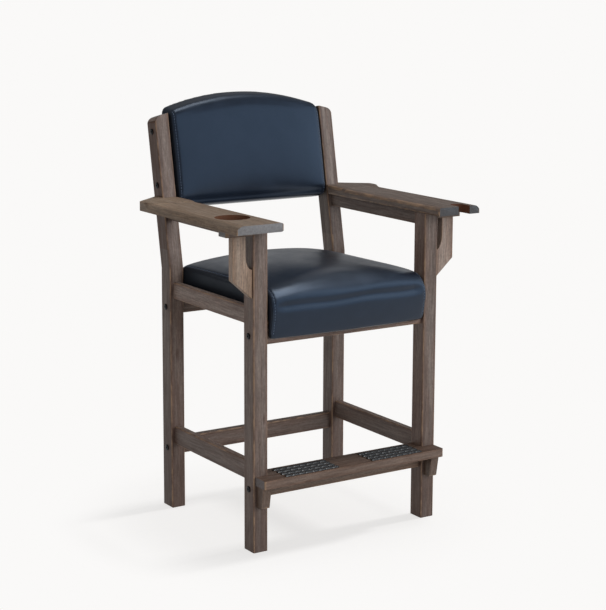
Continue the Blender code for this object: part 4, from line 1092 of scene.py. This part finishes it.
def makeBolt(nodeName):
    look = boltLook
    low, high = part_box(nodeName)
    side = sideSigns[nodeName.rsplit("_", 1)[1]]
    centre = (low + high) / 2
    outerX, innerX = (high.x, low.x) if side > 0 else (low.x, high.x)
    seatX = outerX - side * look["domeHeight"]
    bm = bmesh.new()

    def ring(x, radius, hexagon=False):
        verts = []
        for k in range(look["sides"]):
            t = 2 * math.pi * k / look["sides"]
            reach = radius / math.cos((t % (math.pi / 3)) - math.pi / 6) if hexagon else radius
            verts.append(bm.verts.new((x, centre.y + reach * math.cos(t), centre.z + reach * math.sin(t))))
        return verts

    head, apothem = look["headRadius"], look["socketApothem"]
    rings = [ring(outerX - side * look["socketDepth"], apothem, True),
             ring(outerX - side * look["socketLip"], apothem, True),
             ring(outerX, apothem + look["socketFlare"], True)]
    for share in look["domeRings"]:
        fall = look["domeShare"] * look["domeHeight"] * (1 - math.sqrt(1 - share ** 4))
        rings.append(ring(outerX - side * fall, head * share))
    rings += [ring(seatX + side * look["rimHeight"], head), ring(seatX, head - look["rimRound"]),
              ring(seatX, look["shank"]), ring(innerX, look["shank"])]
    joinRings(bm, rings)
    mesh = bmeshToMesh(bm, camelName(nodeName) + "Steel", look["sharpFrom"])
    return meshObject(camelName(nodeName) + "Steel", mesh, blackSteel, [nodeName])


for nodeName in sorted(nodes):
    if nodeName.startswith("tread"):
        makeTread(nodeName)
    elif nodeName.startswith("bolt"):
        makeBolt(nodeName)
print("treads and bolts made")


# Plywood: birch, rotary cut and raw; pale faces with cathedral grain, and dark glue lines on the edge
plyLook = {"veneer": "#B4976F", "late": "#94764F", "glue": "#6B5238", "grain": (160, 6, 6), "ply": 2.1}


def makePlywood():
    look = plyLook
    material, tree, shader = newMaterial("birchPlywoodRaw")
    spot = addNode(tree, "TexCoord").outputs["Object"]
    stretched = addNode(tree, "VectorMath", {0: spot, 1: perMetre(*look["grain"])}, operation="MULTIPLY")
    grain = addNode(tree, "TexNoise", {"Scale": 1.0, "Detail": 4.0, "Distortion": 0.4, "Vector": stretched})
    share = addNode(tree, "MapRange", {0: grain, 1: 0.4, 2: 0.65})
    colour = addNode(tree, "Mix", {0: share, 6: toLinear(look["veneer"]), 7: toLinear(look["late"])},
                     data_type="RGBA").outputs[2]
    height = addNode(tree, "SeparateXYZ", {0: spot}).outputs[2]
    turns = addNode(tree, "Math", {0: height, 1: 2 * math.pi * 1000 / look["ply"]}, operation="MULTIPLY")
    plies = addNode(tree, "Math", {0: turns}, operation="SINE")
    glued = addNode(tree, "MapRange", {0: plies, 1: 0.7, 2: 1.0, 3: 0.0, 4: 0.6})
    colour = addNode(tree, "Mix", {0: glued, 6: colour, 7: toLinear(look["glue"])}, data_type="RGBA").outputs[2]
    bump = addNode(tree, "Bump", {"Strength": 0.2, "Distance": 0.3 * mm, "Height": grain})
    setInputs(tree, shader, {"Base Color": colour, "Roughness": 0.7, "Normal": bump})
    return material


# Zinc: steel, turned and bright plated; cool grey with fine lathe lines
zincLook = {"plate": "#B4B7BB", "dull": "#8F9296", "lathe": 0.9, "roughness": (0.28, 0.42)}


def makeZinc():
    look = zincLook
    material, tree, shader = newMaterial("steelZincPlated")
    spot = addNode(tree, "TexCoord").outputs["Object"]
    height = addNode(tree, "SeparateXYZ", {0: spot}).outputs[2]
    lines = addNode(tree, "TexNoise", {"Scale": 1000 / look["lathe"], "Detail": 2.0, "W": height},
                    noise_dimensions="1D")
    colour = addNode(tree, "Mix", {0: lines, 6: toLinear(look["dull"]), 7: toLinear(look["plate"])},
                     data_type="RGBA").outputs[2]
    smooth, rough = look["roughness"]
    gloss = addNode(tree, "MapRange", {0: lines, 1: 0.3, 2: 0.7, 3: smooth, 4: rough})
    setInputs(tree, shader, {"Base Color": colour, "Roughness": gloss, "Metallic": 1.0})
    return material


# The panels and barrel nuts keep their solids and take these finishes
keptFinishes = {"seat_panel": makePlywood(), "barrel_nut": makeZinc()}
keptFinishes["back_panel"] = keptFinishes["seat_panel"]
for nodeName, node in nodes.items():
    for prefix, material in keptFinishes.items():
        if nodeName.startswith(prefix):
            node.data.materials.clear()
            node.data.materials.append(material)
